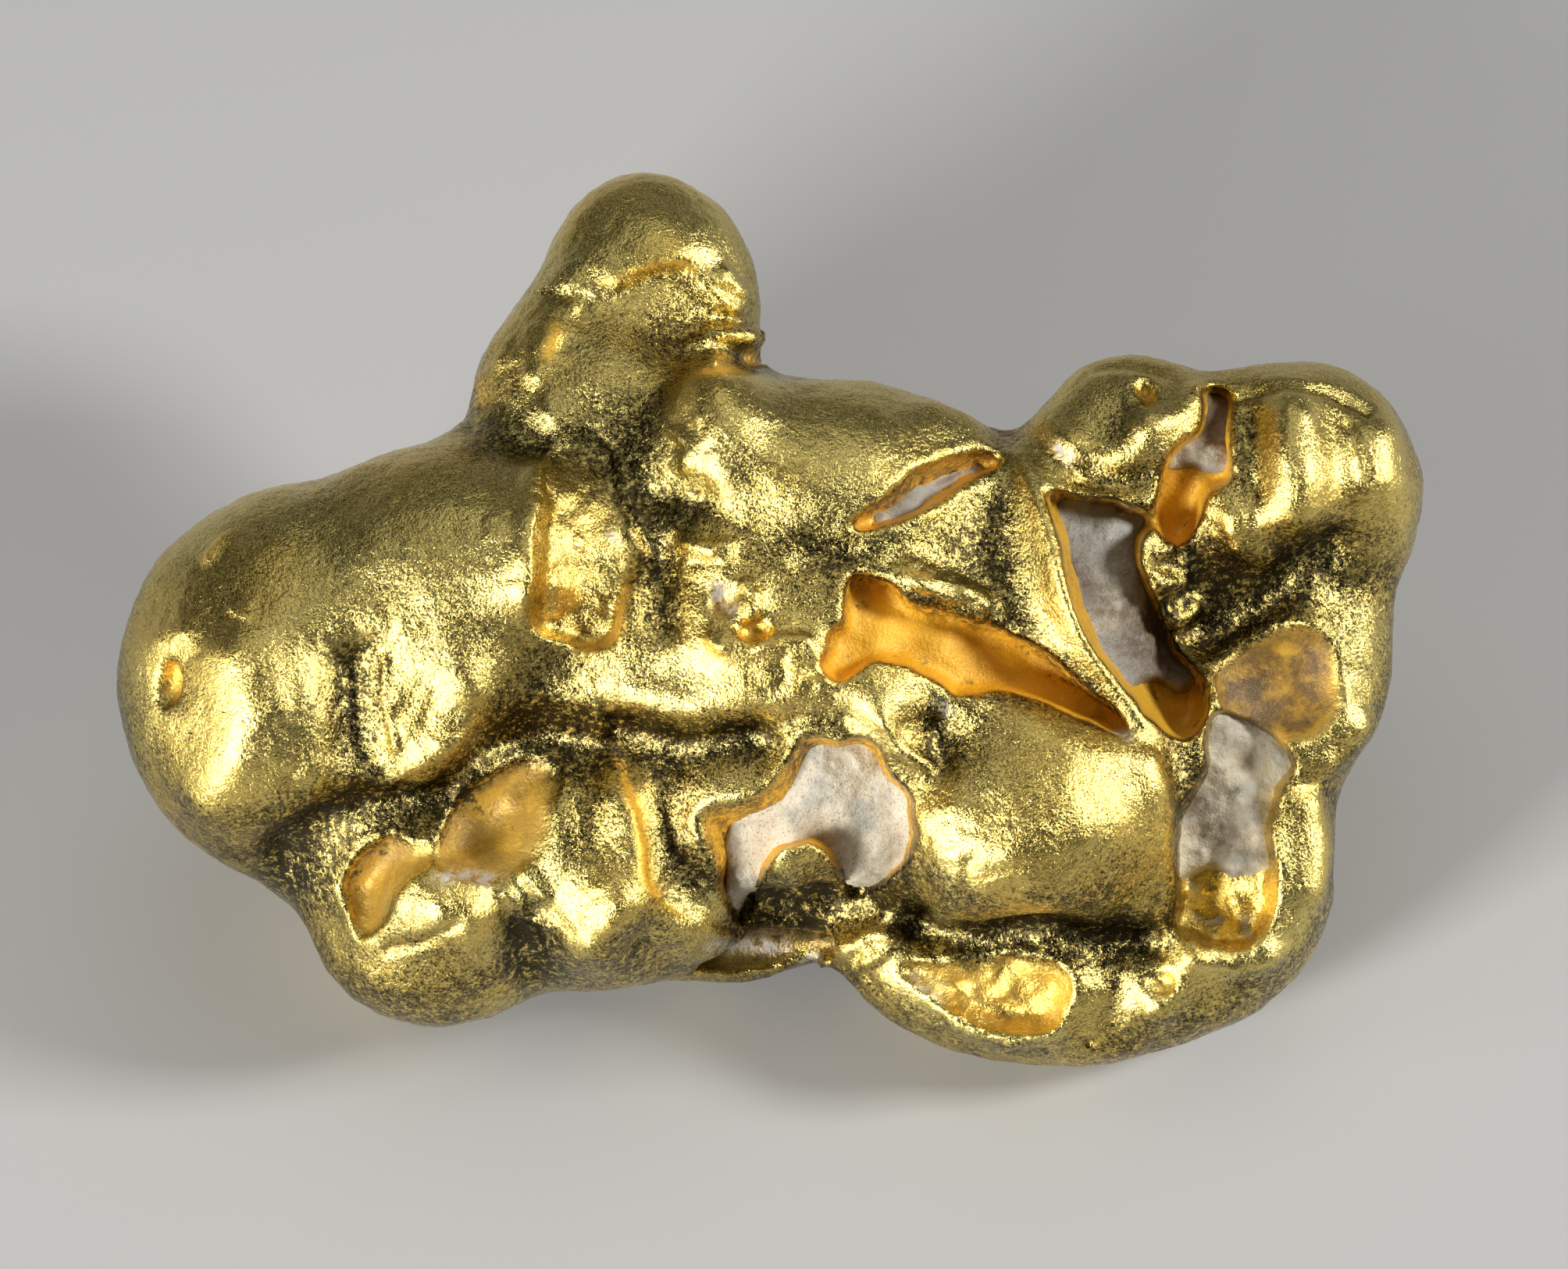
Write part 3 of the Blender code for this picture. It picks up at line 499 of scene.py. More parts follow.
def rounded(points, step):  # a closed curve through the points
    made = []
    count = len(points)
    for i in range(count):
        before, start, end, after = (np.array(points[(i + k) % count]) for k in (-1, 0, 1, 2))
        parts = max(1, round(float(np.linalg.norm((end - start)[:2])) / step))
        for j in range(parts):
            t = j / parts
            bend = (2 * before - 5 * start + 4 * end - after) * t * t
            bend = bend + (3 * start - before - 3 * end + after) * t * t * t
            made.append(start + 0.5 * ((end - before) * t + bend))
    return np.array(made)


def inward(rim):  # unit directions from a closed rim to its inside
    along = np.roll(rim, -1, 0)[:, :2] - np.roll(rim, 1, 0)[:, :2]
    side = np.stack((-along[:, 1], along[:, 0]), 1)
    side /= np.linalg.norm(side, axis=1)[:, None]
    after = np.roll(rim, -1, 0)
    area = np.sum(rim[:, 0] * after[:, 1] - after[:, 0] * rim[:, 1])
    return side if area > 0 else -side


def closedLine(rim):
    return np.vstack((rim, rim[:1]))[:, :2]


def isInside(points, rim):  # which points lie inside a closed rim
    crossings = np.zeros(len(points), int)
    for start, end in zip(rim, np.roll(rim, -1, 0)):
        spans = (start[1] > points[:, 1]) != (end[1] > points[:, 1])
        rise = end[1] - start[1] if end[1] != start[1] else 1e-9
        meets = start[0] + (points[:, 1] - start[1]) * (end[0] - start[0]) / rise
        crossings += spans & (points[:, 0] < meets)
    return crossings % 2 == 1


def layered(spots, layers):  # layers of noise over points (u, v)
    return np.array([
        sum(strength * noise.noise(Vector((u * fine, v * fine, level)))
            for fine, level, strength in layers)
        for u, v in spots
    ])


def raggedRim(name):
    shape = hollows[name]
    points = [(*p, shape["wall"]) if len(p) == 2 else p for p in shape["rim"]]
    rim = rounded(points, cutting["rimStep"])
    tear = layered(rim[:, :2], cutting["tears"]) * cutting["rimRaggedness"]
    rim[:, :2] += inward(rim) * tear[:, None]
    return rim


def floorPoints(rim, rings, cell):
    edge = closedLine(rim)
    into = inward(rim)
    found = [np.empty((0, 2))]
    for reach in rings:
        ring = rim[:, :2] + into * reach[:, None]
        kept = isInside(ring, rim) & (distanceToLine(ring, edge) > 0.93 * reach)  # no overlaps
        found.append(ring[kept])
    low = edge.min(0)
    across, upward = np.ceil((edge.max(0) - low) / cell).astype(int)
    row = 0.87  # rows of even triangles stand this share of a cell apart
    grid = np.array([
        (low[0] + (i + 0.5 * (j % 2)) * cell, low[1] + j * cell * row)
        for j in range(int(upward / row) + 1)
        for i in range(across + 1)
    ])
    clear = cutting["clear"] * cell
    grid = grid[isInside(grid, rim) & (distanceToLine(grid, edge) > clear)]
    ringed = np.vstack(found)
    if len(ringed):
        near = np.linalg.norm(grid[:, None] - ringed[None], axis=2).min(1)
        grid = grid[near > clear]
    return np.vstack((ringed, grid))


def triangulated(rim, extra):
    flat = [Vector(p) for p in np.vstack((rim[:, :2], extra))]
    made = delaunay_2d_cdt(flat, [], [list(range(len(rim)))], 1, 1e-6)
    return np.array([(p.x, p.y) for p in made[0]]), made[2]


def closedBetween(flat, faces, low, high, name):  # a solid between two heights over the face
    bm = bmesh.new()
    lower = [bm.verts.new((u, v, w)) for (u, v), w in zip(flat, low)]
    upper = [bm.verts.new((u, v, w)) for (u, v), w in zip(flat, high)]
    index = {vert: i for i, vert in enumerate(lower)}
    for corners in faces:
        bm.faces.new([lower[i] for i in corners])
        bm.faces.new([upper[i] for i in reversed(corners)])
    rimEdges = [e for e in bm.edges if e.is_boundary and e.verts[0] in index]
    for edge in rimEdges:
        i, j = (index[vert] for vert in edge.verts)
        bm.faces.new((lower[i], lower[j], upper[j], upper[i]))
    bmesh.ops.triangulate(bm, faces=bm.faces)
    return endMesh(bm, name, face)


def hollowFloor(name, flat, rim):  # height w of a hollow's floor over points of the face
    shape = hollows[name]
    gap = distanceToLine(flat, closedLine(rim))
    away = np.linalg.norm(flat[:, None] - rim[None, :, :2], axis=2) + 0.02
    weight = away ** -4.0  # the nearest points of the rim give the wall its width
    wall = (weight @ rim[:, 2]) / weight.sum(1)
    lip = cutting["lip"] * np.minimum(1, shape["wall"] / wall) ** 2
    run = np.clip(gap / wall, 0, 1)
    down = lip + (shape["depth"] - lip) * (1 - (1 - run) ** cutting["wallCurve"])
    lean = (flat - rim[:, :2].mean(0)) @ np.array(shape.get("lean", (0, 0)))
    rough = layered(flat, cutting["floorNoise"]) * shape.get("rough", cutting["floorRoughness"])
    return np.array([skin.height(u, v) for u, v in flat]) - down + (lean + rough) * run


def hollowCutter(name):
    rim = raggedRim(name)
    rings = [rim[:, 2] * share for share in cutting["wallRings"]]
    flat, faces = triangulated(rim, floorPoints(rim, rings, cutting["floorCell"]))
    low = hollowFloor(name, flat, rim)
    return closedBetween(flat, faces, low, np.full(len(flat), aboveFace), name)


def pitCutter(name):
    pit = pits[name]
    u, v = pit["centre"]
    bm = bmesh.new()
    sized = Matrix.Diagonal((*pit["halfSizes"], pit["depth"], 1))
    turned = Matrix.Rotation(math.radians(pit["turn"]), 4, "Z") @ sized
    placed = Matrix.Translation((u, v, skin.height(u, v))) @ turned
    bmesh.ops.create_icosphere(bm, subdivisions=4, radius=1, matrix=placed)
    for vert in bm.verts:
        vert.co += vert.co.normalized() * cutting["pitUnevenness"] * noise.noise(vert.co * 4)
    return endMesh(bm, name, face)


def tableCutter():
    bm = bmesh.new()
    placed = Matrix.Translation((0, 0, -2)) @ Matrix.Diagonal((30, 30, 4, 1))
    bmesh.ops.create_cube(bm, size=1, matrix=placed)
    return endMesh(bm, "table")


def withCuts(mesh, cutters):
    obj = addPiece("work", mesh)
    tools = [addPiece("cutter", cutter) for cutter in cutters]
    for tool in tools:
        boolean = obj.modifiers.new("cut", "BOOLEAN")
        boolean.operation = "DIFFERENCE"
        boolean.solver = "MANIFOLD"
        boolean.object = tool
    made = settled(obj)
    for tool in tools:
        bpy.data.objects.remove(tool)
    return made


def rimRise(spots):  # the gold stands up a little around each hollow
    rims = [closedLine(raggedRim(name)) for name in hollows]
    return lineShare(spots, [(rim, cutting["rolledReach"], cutting["rolledRim"]) for rim in rims])


print("lump: cutting the hollows")
raiseBy(lumpMesh, rimRise(faceSpots(lumpMesh)) * ramp(outward(normalsOf(lumpMesh)), 0, 0.5))
cutters = [hollowCutter(name) for name in hollows]
cutters += [pitCutter(name) for name in pits]
cutters.append(tableCutter())
goldMesh = withCuts(lumpMesh, cutters)
print("lump:", len(goldMesh.polygons), "faces after the cuts")


# The gold's worn surface

wear = {
    "softenPasses": 2,  # rounding of every rim
    # unevenness: size, height, and how many times higher it gets where the gold is crumpled
    "layers": (
        (0.85, 0.045, 0.0),  # broad swell
        (0.42, 0.015, 2.6),  # dents
        (0.2, 0.008, 3.6),  # pocks
        (0.11, 0.005, 2.4),  # nicks
    ),
    "skinDepth": (0.128, -0.08),  # depth where the small forms begin to come in, towards the skin
    # the hidden side: where it begins, and its folds and worn pits with their size and height
    "back": (0.0625, -0.625),
    "folds": (2.3, 0.16),
    "pits": (0.75, 0.22), "pitsFrom": 0.38, "pitsOver": 0.4,
    "facetEdge": 0.3,  # height over the table under which the worn facet stays flat
}

# small forms of the finished surface
detail = {
    # creases and sharp crests: points (u, v), reach, height
    "creases": (
        (((-1.15, 3.66), (-0.78, 3.76), (-0.3, 3.8)), 0.1, 0.1),
        (((3.08, 2.25), (3.28, 1.6), (3.52, 0.75), (3.8, 0.0), (4.2, -0.62), (4.6, -1.12)),
         0.08, 0.03),
        (((5.85, 3.02), (6.4, 3.16), (7.0, 3.1), (7.5, 2.82)), 0.07, -0.09),
        (((4.0, 3.38), (4.4, 3.44), (4.9, 3.3)), 0.07, -0.07),
        (((-5.02, -0.35), (-5.05, -0.85), (-4.9, -1.45)), 0.06, 0.06),
        (((-5.0, -4.05), (-4.55, -3.98), (-4.1, -3.72)), 0.06, -0.07),
        (((-5.3, -1.75), (-5.0, -1.9), (-4.85, -1.8)), 0.07, 0.07),
        (((-3.5, -3.32), (-3.2, -3.6), (-2.95, -3.72)), 0.09, 0.1),
        (((-3.3, -3.0), (-3.0, -3.35)), 0.08, 0.07),
        (((-0.95, 4.45), (-0.6, 4.12)), 0.07, 0.07),
        (((-0.75, 4.6), (-0.5, 4.35)), 0.06, 0.06),
        (((-0.95, 3.86), (-0.45, 3.76)), 0.06, 0.07),
        (((1.3, -1.15), (1.5, -1.48), (1.88, -1.72)), 0.07, 0.07),
        (((2.42, -2.9), (2.3, -3.3), (2.38, -3.6)), 0.1, -0.05),
        (((1.7, 0.66), (2.0, 0.5), (2.3, 0.44)), 0.07, 0.07),
        (((2.3, 0.58), (2.6, 0.32)), 0.07, 0.06),
        (((4.92, 0.64), (5.08, 0.72)), 0.14, 0.2),
        (((5.06, 0.2), (5.22, 0.34)), 0.14, 0.2),
        (((4.8, 1.02), (4.92, 1.06)), 0.1, 0.1),
        (((5.18, 0.95), (5.05, 0.92)), 0.08, 0.06),
        (((0.5, -4.35), (0.65, -4.1)), 0.07, 0.08),
        (((0.85, -4.05), (1.2, -3.85), (1.5, -3.92)), 0.08, 0.09),
        (((1.0, -4.25), (1.35, -4.1)), 0.07, 0.07),
        (((-0.6, -4.25), (0.1, -4.15)), 0.07, 0.07),
        (((-1.35, 2.55), (-1.15, 2.35), (-1.2, 2.1)), 0.08, 0.07),
        (((-1.2, 1.12), (-0.9, 1.06), (-0.62, 1.12)), 0.07, 0.06),
        (((-1.15, 0.88), (-0.8, 0.86)), 0.06, -0.05),
        (((-0.45, 0.62), (-0.32, 0.45), (-0.4, 0.22)), 0.07, 0.08),
        (((0.05, -0.08), (0.35, -0.1)), 0.07, 0.07),
        (((0.15, -0.42), (0.45, -0.52)), 0.07, 0.07),
        (((-0.9, -0.08), (-0.75, -0.2)), 0.07, 0.06),
        (((7.25, 2.65), (7.35, 2.3), (7.42, 2.0)), 0.06, -0.07),
        (((-7.3, 0.95), (-7.1, 1.2)), 0.07, 0.06),
        (((-6.98, 0.3), (-6.8, 0.2)), 0.05, 0.06),
        (((-4.4, 2.55), (-4.1, 2.65)), 0.08, 0.07),
    ),
    # broken layers: points (u, v), height, reach; the side on the left of the line stands higher
    "ledgeWidth": 0.05, "ledgeEnd": 0.3,
    "ledges": (
        (((-1.05, 4.58), (-1.25, 4.68), (-1.55, 4.68), (-1.85, 4.56), (-2.05, 4.42), (-2.4, 4.4)),
         -0.2, 0.55),
        (((-2.72, 3.98), (-2.85, 3.75), (-2.98, 3.45)), -0.14, 0.35),
        (((-1.0, -3.72), (-1.3, -3.62), (-1.62, -3.36), (-1.72, -3.1), (-1.74, -2.7), (-1.82, -2.3),
          (-1.98, -1.9), (-2.12, -1.45)), 0.2, 0.5),
        (((-4.95, -0.42), (-5.0, -0.9), (-4.88, -1.5)), 0.05, 0.45),
        (((1.65, 0.8), (2.0, 0.7), (2.5, 0.52)), -0.06, 0.3),
    ),
    # lines painted in the hollows' amber: points (u, v), reach, strength
    "seams": (
        (((-2.12, -1.45), (-1.98, -1.9), (-1.82, -2.3), (-1.74, -2.7), (-1.72, -3.1),
          (-1.6, -3.32)), 0.08, 1.0),
        (((-2.88, 3.88), (-2.98, 3.55)), 0.1, 0.7),
        (((-3.85, 3.2), (-3.82, 2.95)), 0.12, 0.5),
        (((-1.1, 4.66), (-1.5, 4.74), (-1.9, 4.62), (-2.3, 4.46)), 0.06, 0.4),
        (((-0.35, 3.6), (-0.8, 3.5)), 0.06, 0.6),
        (((1.55, 0.78), (1.9, 0.72)), 0.04, 0.6),
        (((-7.35, 0.9), (-7.15, 1.2)), 0.05, 0.4),
        (((-1.78, 1.0), (-1.95, 0.5), (-2.08, 0.02), (-2.25, -0.15), (-2.6, -0.2)), 0.09, 0.5),
        (((4.95, -0.85), (5.1, -1.15)), 0.2, 0.9),
    ),
    # lines along which the gold is polished and lighter, partly wear and partly painted highlight;
    # lines of painted shade
    "polishAndHighlightLines": (
        (((3.05, 2.2), (3.22, 1.5), (3.45, 0.7), (3.75, -0.08), (4.15, -0.7), (4.56, -1.2)),
         0.2, 1.0),
        (((-2.6, 1.9), (-2.55, 0.6)), 0.6, 0.9),
        (((2.1, -2.4), (2.5, -3.4)), 0.6, 0.7),
        (((-4.3, -0.7), (-4.2, -1.1)), 0.4, 0.9),
        (((4.9, 0.66), (5.06, 0.72)), 0.12, 1.0),
        (((5.02, 0.18), (5.22, 0.36)), 0.12, 1.0),
        (((5.3, -3.4), (5.9, -3.8)), 0.4, 0.8),
    ),
    # lines of painted shade: points (u, v), reach, strength
    "grimeAndShade": (
        (((5.45, 0.45), (6.1, 0.4), (6.9, 0.55)), 0.42, 0.9),
        (((7.1, -0.1), (7.5, 0.7)), 0.36, 0.8),
        (((-5.3, -0.6), (-5.25, -1.6)), 0.35, 0.6),
        (((-2.4, -1.9), (-2.5, -2.7)), 0.35, 0.7),
        (((4.2, 2.55), (4.4, 3.0)), 0.3, 0.5),
    ),
    # lines where quartz dust sticks to the gold
    "dust": (
        (((-4.35, -3.13), (-4.0, -3.06), (-3.6, -3.2)), 0.09, 0.9),
        (((3.52, 2.38), (3.66, 2.22)), 0.08, 0.9),
        (((-0.8, 0.52), (-0.68, 0.32)), 0.12, 0.9),
        (((2.02, -0.93), (2.1, -0.98)), 0.07, 0.8),
        (((4.3, -1.26), (4.42, -1.34)), 0.07, 0.8),
        (((-0.9, -4.02), (-0.4, -4.0), (0.0, -4.05)), 0.1, 0.7),
        (((0.25, -4.3), (0.45, -4.15)), 0.07, 0.6),
        (((-2.18, 1.25), (-2.12, 1.2)), 0.06, 0.6),
        (((5.3, -3.25), (5.34, -3.4)), 0.06, 0.8),
        (((5.95, -3.7), (5.98, -3.85)), 0.06, 0.8),
        (((1.7, -4.45), (2.0, -4.6)), 0.1, 0.5),
    ),
    # crumpled places: centre (u, v), reach, strength
    "crumpled": (
        ((-2.6, 1.2), 1.1, 0.6), ((-3.6, 0.95), 0.4, 0.5), ((-1.0, 1.0), 0.5, 0.8),
        ((-1.2, 2.4), 0.5, 0.7), ((0.1, -0.25), 0.55, 0.9), ((-0.5, 0.4), 0.4, 0.6),
        ((2.0, 0.6), 0.5, 0.8), ((-4.5, -1.2), 0.6, 0.6), ((-4.4, -3.7), 0.5, 0.4),
        ((-2.4, -3.7), 0.6, 0.5), ((-1.4, -3.4), 0.4, 0.6), ((0.9, -4.1), 0.6, 1.0),
        ((2.3, -2.9), 0.7, 0.6), ((2.9, -4.7), 0.7, 0.9), ((-2.4, 4.5), 0.5, 0.7),
        ((-3.5, 3.4), 0.6, 0.7), ((-0.7, 4.1), 0.4, 0.7), ((5.8, 1.2), 0.5, 0.7),
        ((-2.6, -0.7), 0.5, 0.5), ((1.1, 1.3), 0.4, 0.5), ((4.8, -4.6), 0.4, 0.8),
        ((5.6, -3.6), 0.6, 1.0), ((-5.9, -1.9), 0.8, 0.4), ((7.2, -1.4), 0.4, 0.5),
    ),
}


def detailRise(spots):  # height of the small forms at points (u, v)
    rise = strokeRise(spots, detail["creases"])
    for line, height, reach in detail["ledges"]:
        near = nearLine(spots, line, reach)
        gap, side = besideLine(spots[near], line)
        ends = np.array([line[0], line[-1]], float)
        fromEnds = np.linalg.norm(spots[near][:, None] - ends[None], axis=2).min(1)
        fade = soft(gap / reach) * ramp(fromEnds, 0, detail["ledgeEnd"])
        rise[near] += 0.5 * height * np.tanh(gap * side / detail["ledgeWidth"]) * fade
    return rise


def crumpledShare(spots):
    share = np.zeros(len(spots))
    for centre, reach, strength in detail["crumpled"]:
        gap = np.linalg.norm(spots - np.array(centre), axis=1)
        share = np.maximum(share, strength * soft(gap / reach))
    return share


goldMesh = withModifiers(
    goldMesh,
    ("REMESH", {"mode": "VOXEL", "voxel_size": lump["skinVoxel"] * mm}),
    ("SMOOTH", {"factor": 0.5, "iterations": wear["softenPasses"]}),
)
print("lump:", len(goldMesh.vertices), "points after the remesh")

places = placesOf(goldMesh)
normals = normalsOf(goldMesh)
spots = inFace(places)
facing = onFace(goldMesh)
onSkin = ramp(skin.depths(spots), *wear["skinDepth"])
crumpled = crumpledShare(spots[:, :2]) * facing
rise = detailRise(spots[:, :2]) * onSkin * facing
for seed, (size, height, crumple) in enumerate(wear["layers"], 1):
    field = roughField(places, size, seed)
    if crumple:
        field = 1.6 * np.abs(field) - 0.4  # rounded knocks with creases between them
    rise += height * field * (1 + crumple * crumpled)
back = ramp(outward(normals), *wear["back"])
size, height = wear["folds"]
rise += back * height * (0.5 - 2 * np.abs(roughField(places, size, 11)))
size, height = wear["pits"]
pitted = np.maximum(roughField(places, size, 12) - wear["pitsFrom"], 0) / wear["pitsOver"]
rise -= back * height * pitted
rise *= ramp(places[:, 2], 0, wear["facetEdge"] * mm)
places += normals * (rise * mm)[:, None]
places[:, 2] = np.maximum(places[:, 2], 0)
setPlaces(goldMesh, places)

# fewer triangles on the side that turns away
hidden = np.clip(-outward(normalsOf(goldMesh)) * 3 + 0.2, 0, 1)
thin = addPiece("work", goldMesh)
group = thin.vertex_groups.new(name="hidden")
for level in range(1, 11):
    chosen = np.flatnonzero(np.ceil(hidden * 10) == level)
    group.add(chosen.tolist(), level / 10, "REPLACE")
decimate = thin.modifiers.new("thin", "DECIMATE")
decimate.ratio = min(1, lump["triangles"] / (2 * len(goldMesh.polygons)))
decimate.vertex_group = "hidden"
decimate.vertex_group_factor = 1
goldMesh = settled(thin)
print("gold:", sum(len(p.vertices) - 2 for p in goldMesh.polygons), "triangles")


goldMasks = {
    "hollow": (0.05, 0.1),  # depth where a hollow begins, and the way until it is fully one
    "cover": 0.05,  # least height of the missing gold above a point of a hollow
    # share of amber, a painted reflection of bounced light, in a hollow or pit that gives none of
    # its own
    "usualAmberReflection": 0.8,
    "front": -0.2,  # outward share of the normal up to which lines of colour show
    "valleyLevel": 0.09, "valleyDepth": 0.2,  # a valley lies this far, in mm, below the ground
    "crestLevel": 0.1, "crestHeight": 0.16,  # a crest lies this far above it
    "skirt": (0.26, -0.2),  # depth in a hollow down to which a valley's painted shade reaches
    "under": (0.58, -0.45),  # upward share of the normal where the painted shade of the underside sets in
}


def hollowShare(spots, key, usual):  # one of the hollows' shares at points (u, v)
    share = np.zeros(len(spots))
    for name in hollows:
        rim = raggedRim(name)
        near = nearLine(spots, rim[:, :2], 0.02)
        inside = near[isInside(spots[near], rim)]
        share[inside] = hollows[name].get(key, usual)
    for pit in pits.values():
        gap = np.linalg.norm((spots - np.array(pit["centre"])) / np.array(pit["halfSizes"]), axis=1)
        share[gap < 1.05] = pit.get(key, usual)
    return share


def maskGold(mesh):  # stores what the gold's look needs to know about each point
    places = placesOf(mesh)
    normals = normalsOf(mesh)
    spots = inFace(places)
    flat = spots[:, :2]
    front = outward(normals) > goldMasks["front"]
    depth = skin.depths(spots)
    down = Vector((0, 0, -1))
    level = np.array([skin.tree.ray_cast(Vector((u, v, aboveFace)), down)[3] or 9 for u, v in flat])
    covered = (aboveFace - level) - spots[:, 2] > goldMasks["cover"]
    hollow = neighbourMean(mesh, ramp(depth, *goldMasks["hollow"]) * covered, 2)
    # amber: painted reflection of the light bounced between the gold walls of the hollows and pits;
    # the seams' lines take the same amber
    amberReflection = neighbourMean(mesh, hollowShare(flat, "amberReflection", goldMasks["usualAmberReflection"]), 2)
    # brown in the hollows and pits: partly stain, partly painted shade
    stainAndShade = neighbourMean(mesh, hollowShare(flat, "stainAndShade", 0.0), 2)
    storeMask(mesh, "hollow", hollow)
    storeMask(mesh, "amber", np.maximum(hollow * amberReflection, lineShare(flat, detail["seams"]) * front))
    storeMask(mesh, "stainAndShade", hollow * stainAndShade)
    storeMask(mesh, "dust", lineShare(flat, detail["dust"]) * front)
    ground = skin.bulges(spots)
    # painted shade in the broad valleys, where the ground sinks, and along the listed lines of
    # painted shade
    valley = ramp(ground, goldMasks["valleyLevel"], -goldMasks["valleyDepth"])
    valley = np.maximum(valley, lineShare(flat, detail["grimeAndShade"]) * front)
    valley = neighbourMean(mesh, valley * ramp(depth, *goldMasks["skirt"]), 6)
    storeMask(mesh, "valley", valley)
    # crests cleaned by wear, and lines of painted highlight where the lamps' highlights fall
    crestAndHighlight = ramp(ground, goldMasks["crestLevel"], goldMasks["crestHeight"])
    crestAndHighlight = np.maximum(crestAndHighlight, lineShare(flat, detail["polishAndHighlightLines"]) * front)
    storeMask(mesh, "crestAndHighlight", neighbourMean(mesh, crestAndHighlight, 6))
    # painted shade on the side that faces down
    storeMask(mesh, "under", ramp(neighbourMean(mesh, normals[:, 2], 12), *goldMasks["under"]))
    bulge = np.einsum("ij,ij->i", places - neighbourMean(mesh, places, 1), normals)
    bulge = neighbourMean(mesh, bulge / (lump["skinVoxel"] * mm), 4)
    storeMask(mesh, "bulge", np.clip(0.5 + bulge * 6, 0, 1))


maskGold(goldMesh)
goldMesh.shade_smooth()


# Quartz grains

# sunk: depth of the crust's top under the lump's skin; span: left, bottom, right and top of the
# crust; look: shares of its colours; brown patches, partly stain and partly painted shade: points
# (u, v), reach, strength
grains = {
    "quartz_centre": dict(
        hollow="centre", sunk=0.46, span=(-0.66, -3.9, 1.9, -1.2),
        look=dict(grey=0.25, rust=0.15, specks=0.6),
        stainsAndShade=(
            (((1.45, -2.7), (1.2, -3.1)), 0.25, 0.45), (((0.6, -2.6), (0.3, -2.5)), 0.25, 0.25),
        ),
    ),
    "quartz_slot": dict(
        hollow="slot", sunk=0.6, span=(3.2, -0.62, 5.5, 2.2),
        look=dict(grey=1.0, rust=0.4, specks=0.6),
        stainsAndShade=(
            (((4.55, 0.2), (4.9, -0.5)), 0.45, 1.0), (((3.7, 1.0), (4.1, 0.3)), 0.28, 0.9),
            (((4.75, 1.4), (4.6, 1.1)), 0.12, 0.5),
        ),
    ),
    "quartz_slit": dict(
        hollow="upperSlit", sunk=0.44, span=(0.8, 1.1, 3.0, 2.5),
        look=dict(grey=0.35, rust=0.4, specks=0.3),
        stainsAndShade=((((1.1, 1.45), (1.6, 1.75)), 0.12, 0.7), (((2.0, 1.9), (2.5, 2.15)), 0.06, 0.9)),
    ),
    "quartz_trough": dict(
        hollow="trough", sunk=0.38, span=(4.9, -3.06, 6.8, -0.9),
        look=dict(grey=0.45, rust=0.45, specks=0.35),
        stainsAndShade=(
            (((5.35, -2.2), (5.75, -2.7)), 0.32, 0.8), (((5.6, -1.3), (5.95, -1.6)), 0.2, 0.5),
            (((6.15, -2.3), (6.2, -2.8)), 0.16, 0.6),
        ),
    ),
    "quartz_notch": dict(
        hollow="notch", sunk=0.36, span=(4.7, 2.12, 5.9, 3.2),
        look=dict(grey=0.8, rust=0.7, specks=0.4),
        stainsAndShade=((((5.55, 3.1), (5.6, 2.55)), 0.34, 1.3), (((5.1, 2.3), (5.2, 2.1)), 0.14, 0.8)),
    ),
}

quartz = {
    "cell": 0.08,
    "voxel": 0.045,
    "chips": (0.45, 0.1),  # size and height of the broken faces
    "stepsPerMm": 3.3,  # level steps between them
    "fray": (2.7, 0.16),  # tears in the crust's edge: how many in a millimetre, and their reach
    "fall": 3,  # how steeply the crust drops past its edge
    "grit": (0.1, 0.018),
    "below": 0.15,  # how far the crust goes under the hollow's floor
}


def grainMesh(name):
    grain = grains[name]
    rim = raggedRim(grain["hollow"])
    flat, faces = triangulated(rim, floorPoints(rim, [], quartz["cell"]))
    left, bottom, right, top = grain["span"]
    size, height = quartz["chips"]
    steps = quartz["stepsPerMm"]
    fine, reach = quartz["fray"]
    level = []
    for u, v in flat:
        chip = noise.noise(Vector((u / size, v / size, 3.1)))
        chip += 0.5 * noise.cell(Vector((u * steps, v * steps, 1.0))) - 0.25
        fray = reach * noise.noise(Vector((u * fine, v * fine, 4.4)))
        out = max(left - u, u - right, bottom - v, v - top, -1) + fray
        drop = grain["sunk"] + quartz["fall"] * max(out, 0)
        level.append(skin.height(u, v) - drop + height * chip)
    depth = hollows[grain["hollow"]]["depth"] + quartz["below"]
    low = np.array([skin.height(u, v) - depth for u, v in flat])
    high = np.maximum(level, low + 0.02)
    mesh = closedBetween(flat, faces, low, high, name)
    mesh = withModifiers(
        mesh,
        ("REMESH", {"mode": "VOXEL", "voxel_size": quartz["voxel"] * mm}),
        ("SMOOTH", {"factor": 0.5, "iterations": 2}),
    )
    # brown patches on the crust: partly stain, partly painted shade
    storeMask(mesh, "stainAndShade", lineShare(faceSpots(mesh), grain["stainsAndShade"]))
    size, height = quartz["grit"]
    places = placesOf(mesh)
    raiseBy(mesh, (roughField(places, size, 7) + 0.6 * roughField(places, size / 2, 8)) * height)
    mesh.shade_smooth()
    return mesh


# Materials

class Value:  # a socket that can be used in sums
    def __init__(self, look, socket):
        self.look = look
        self.socket = socket

    def __add__(self, other):
        return self.look.sum("ADD", self, other)

    def __mul__(self, other):
        return self.look.sum("MULTIPLY", self, other)

    def __sub__(self, other):
        return self.look.sum("SUBTRACT", self, other)

    def __rsub__(self, other):
        return self.look.sum("SUBTRACT", other, self)

    __radd__ = __add__
    __rmul__ = __mul__


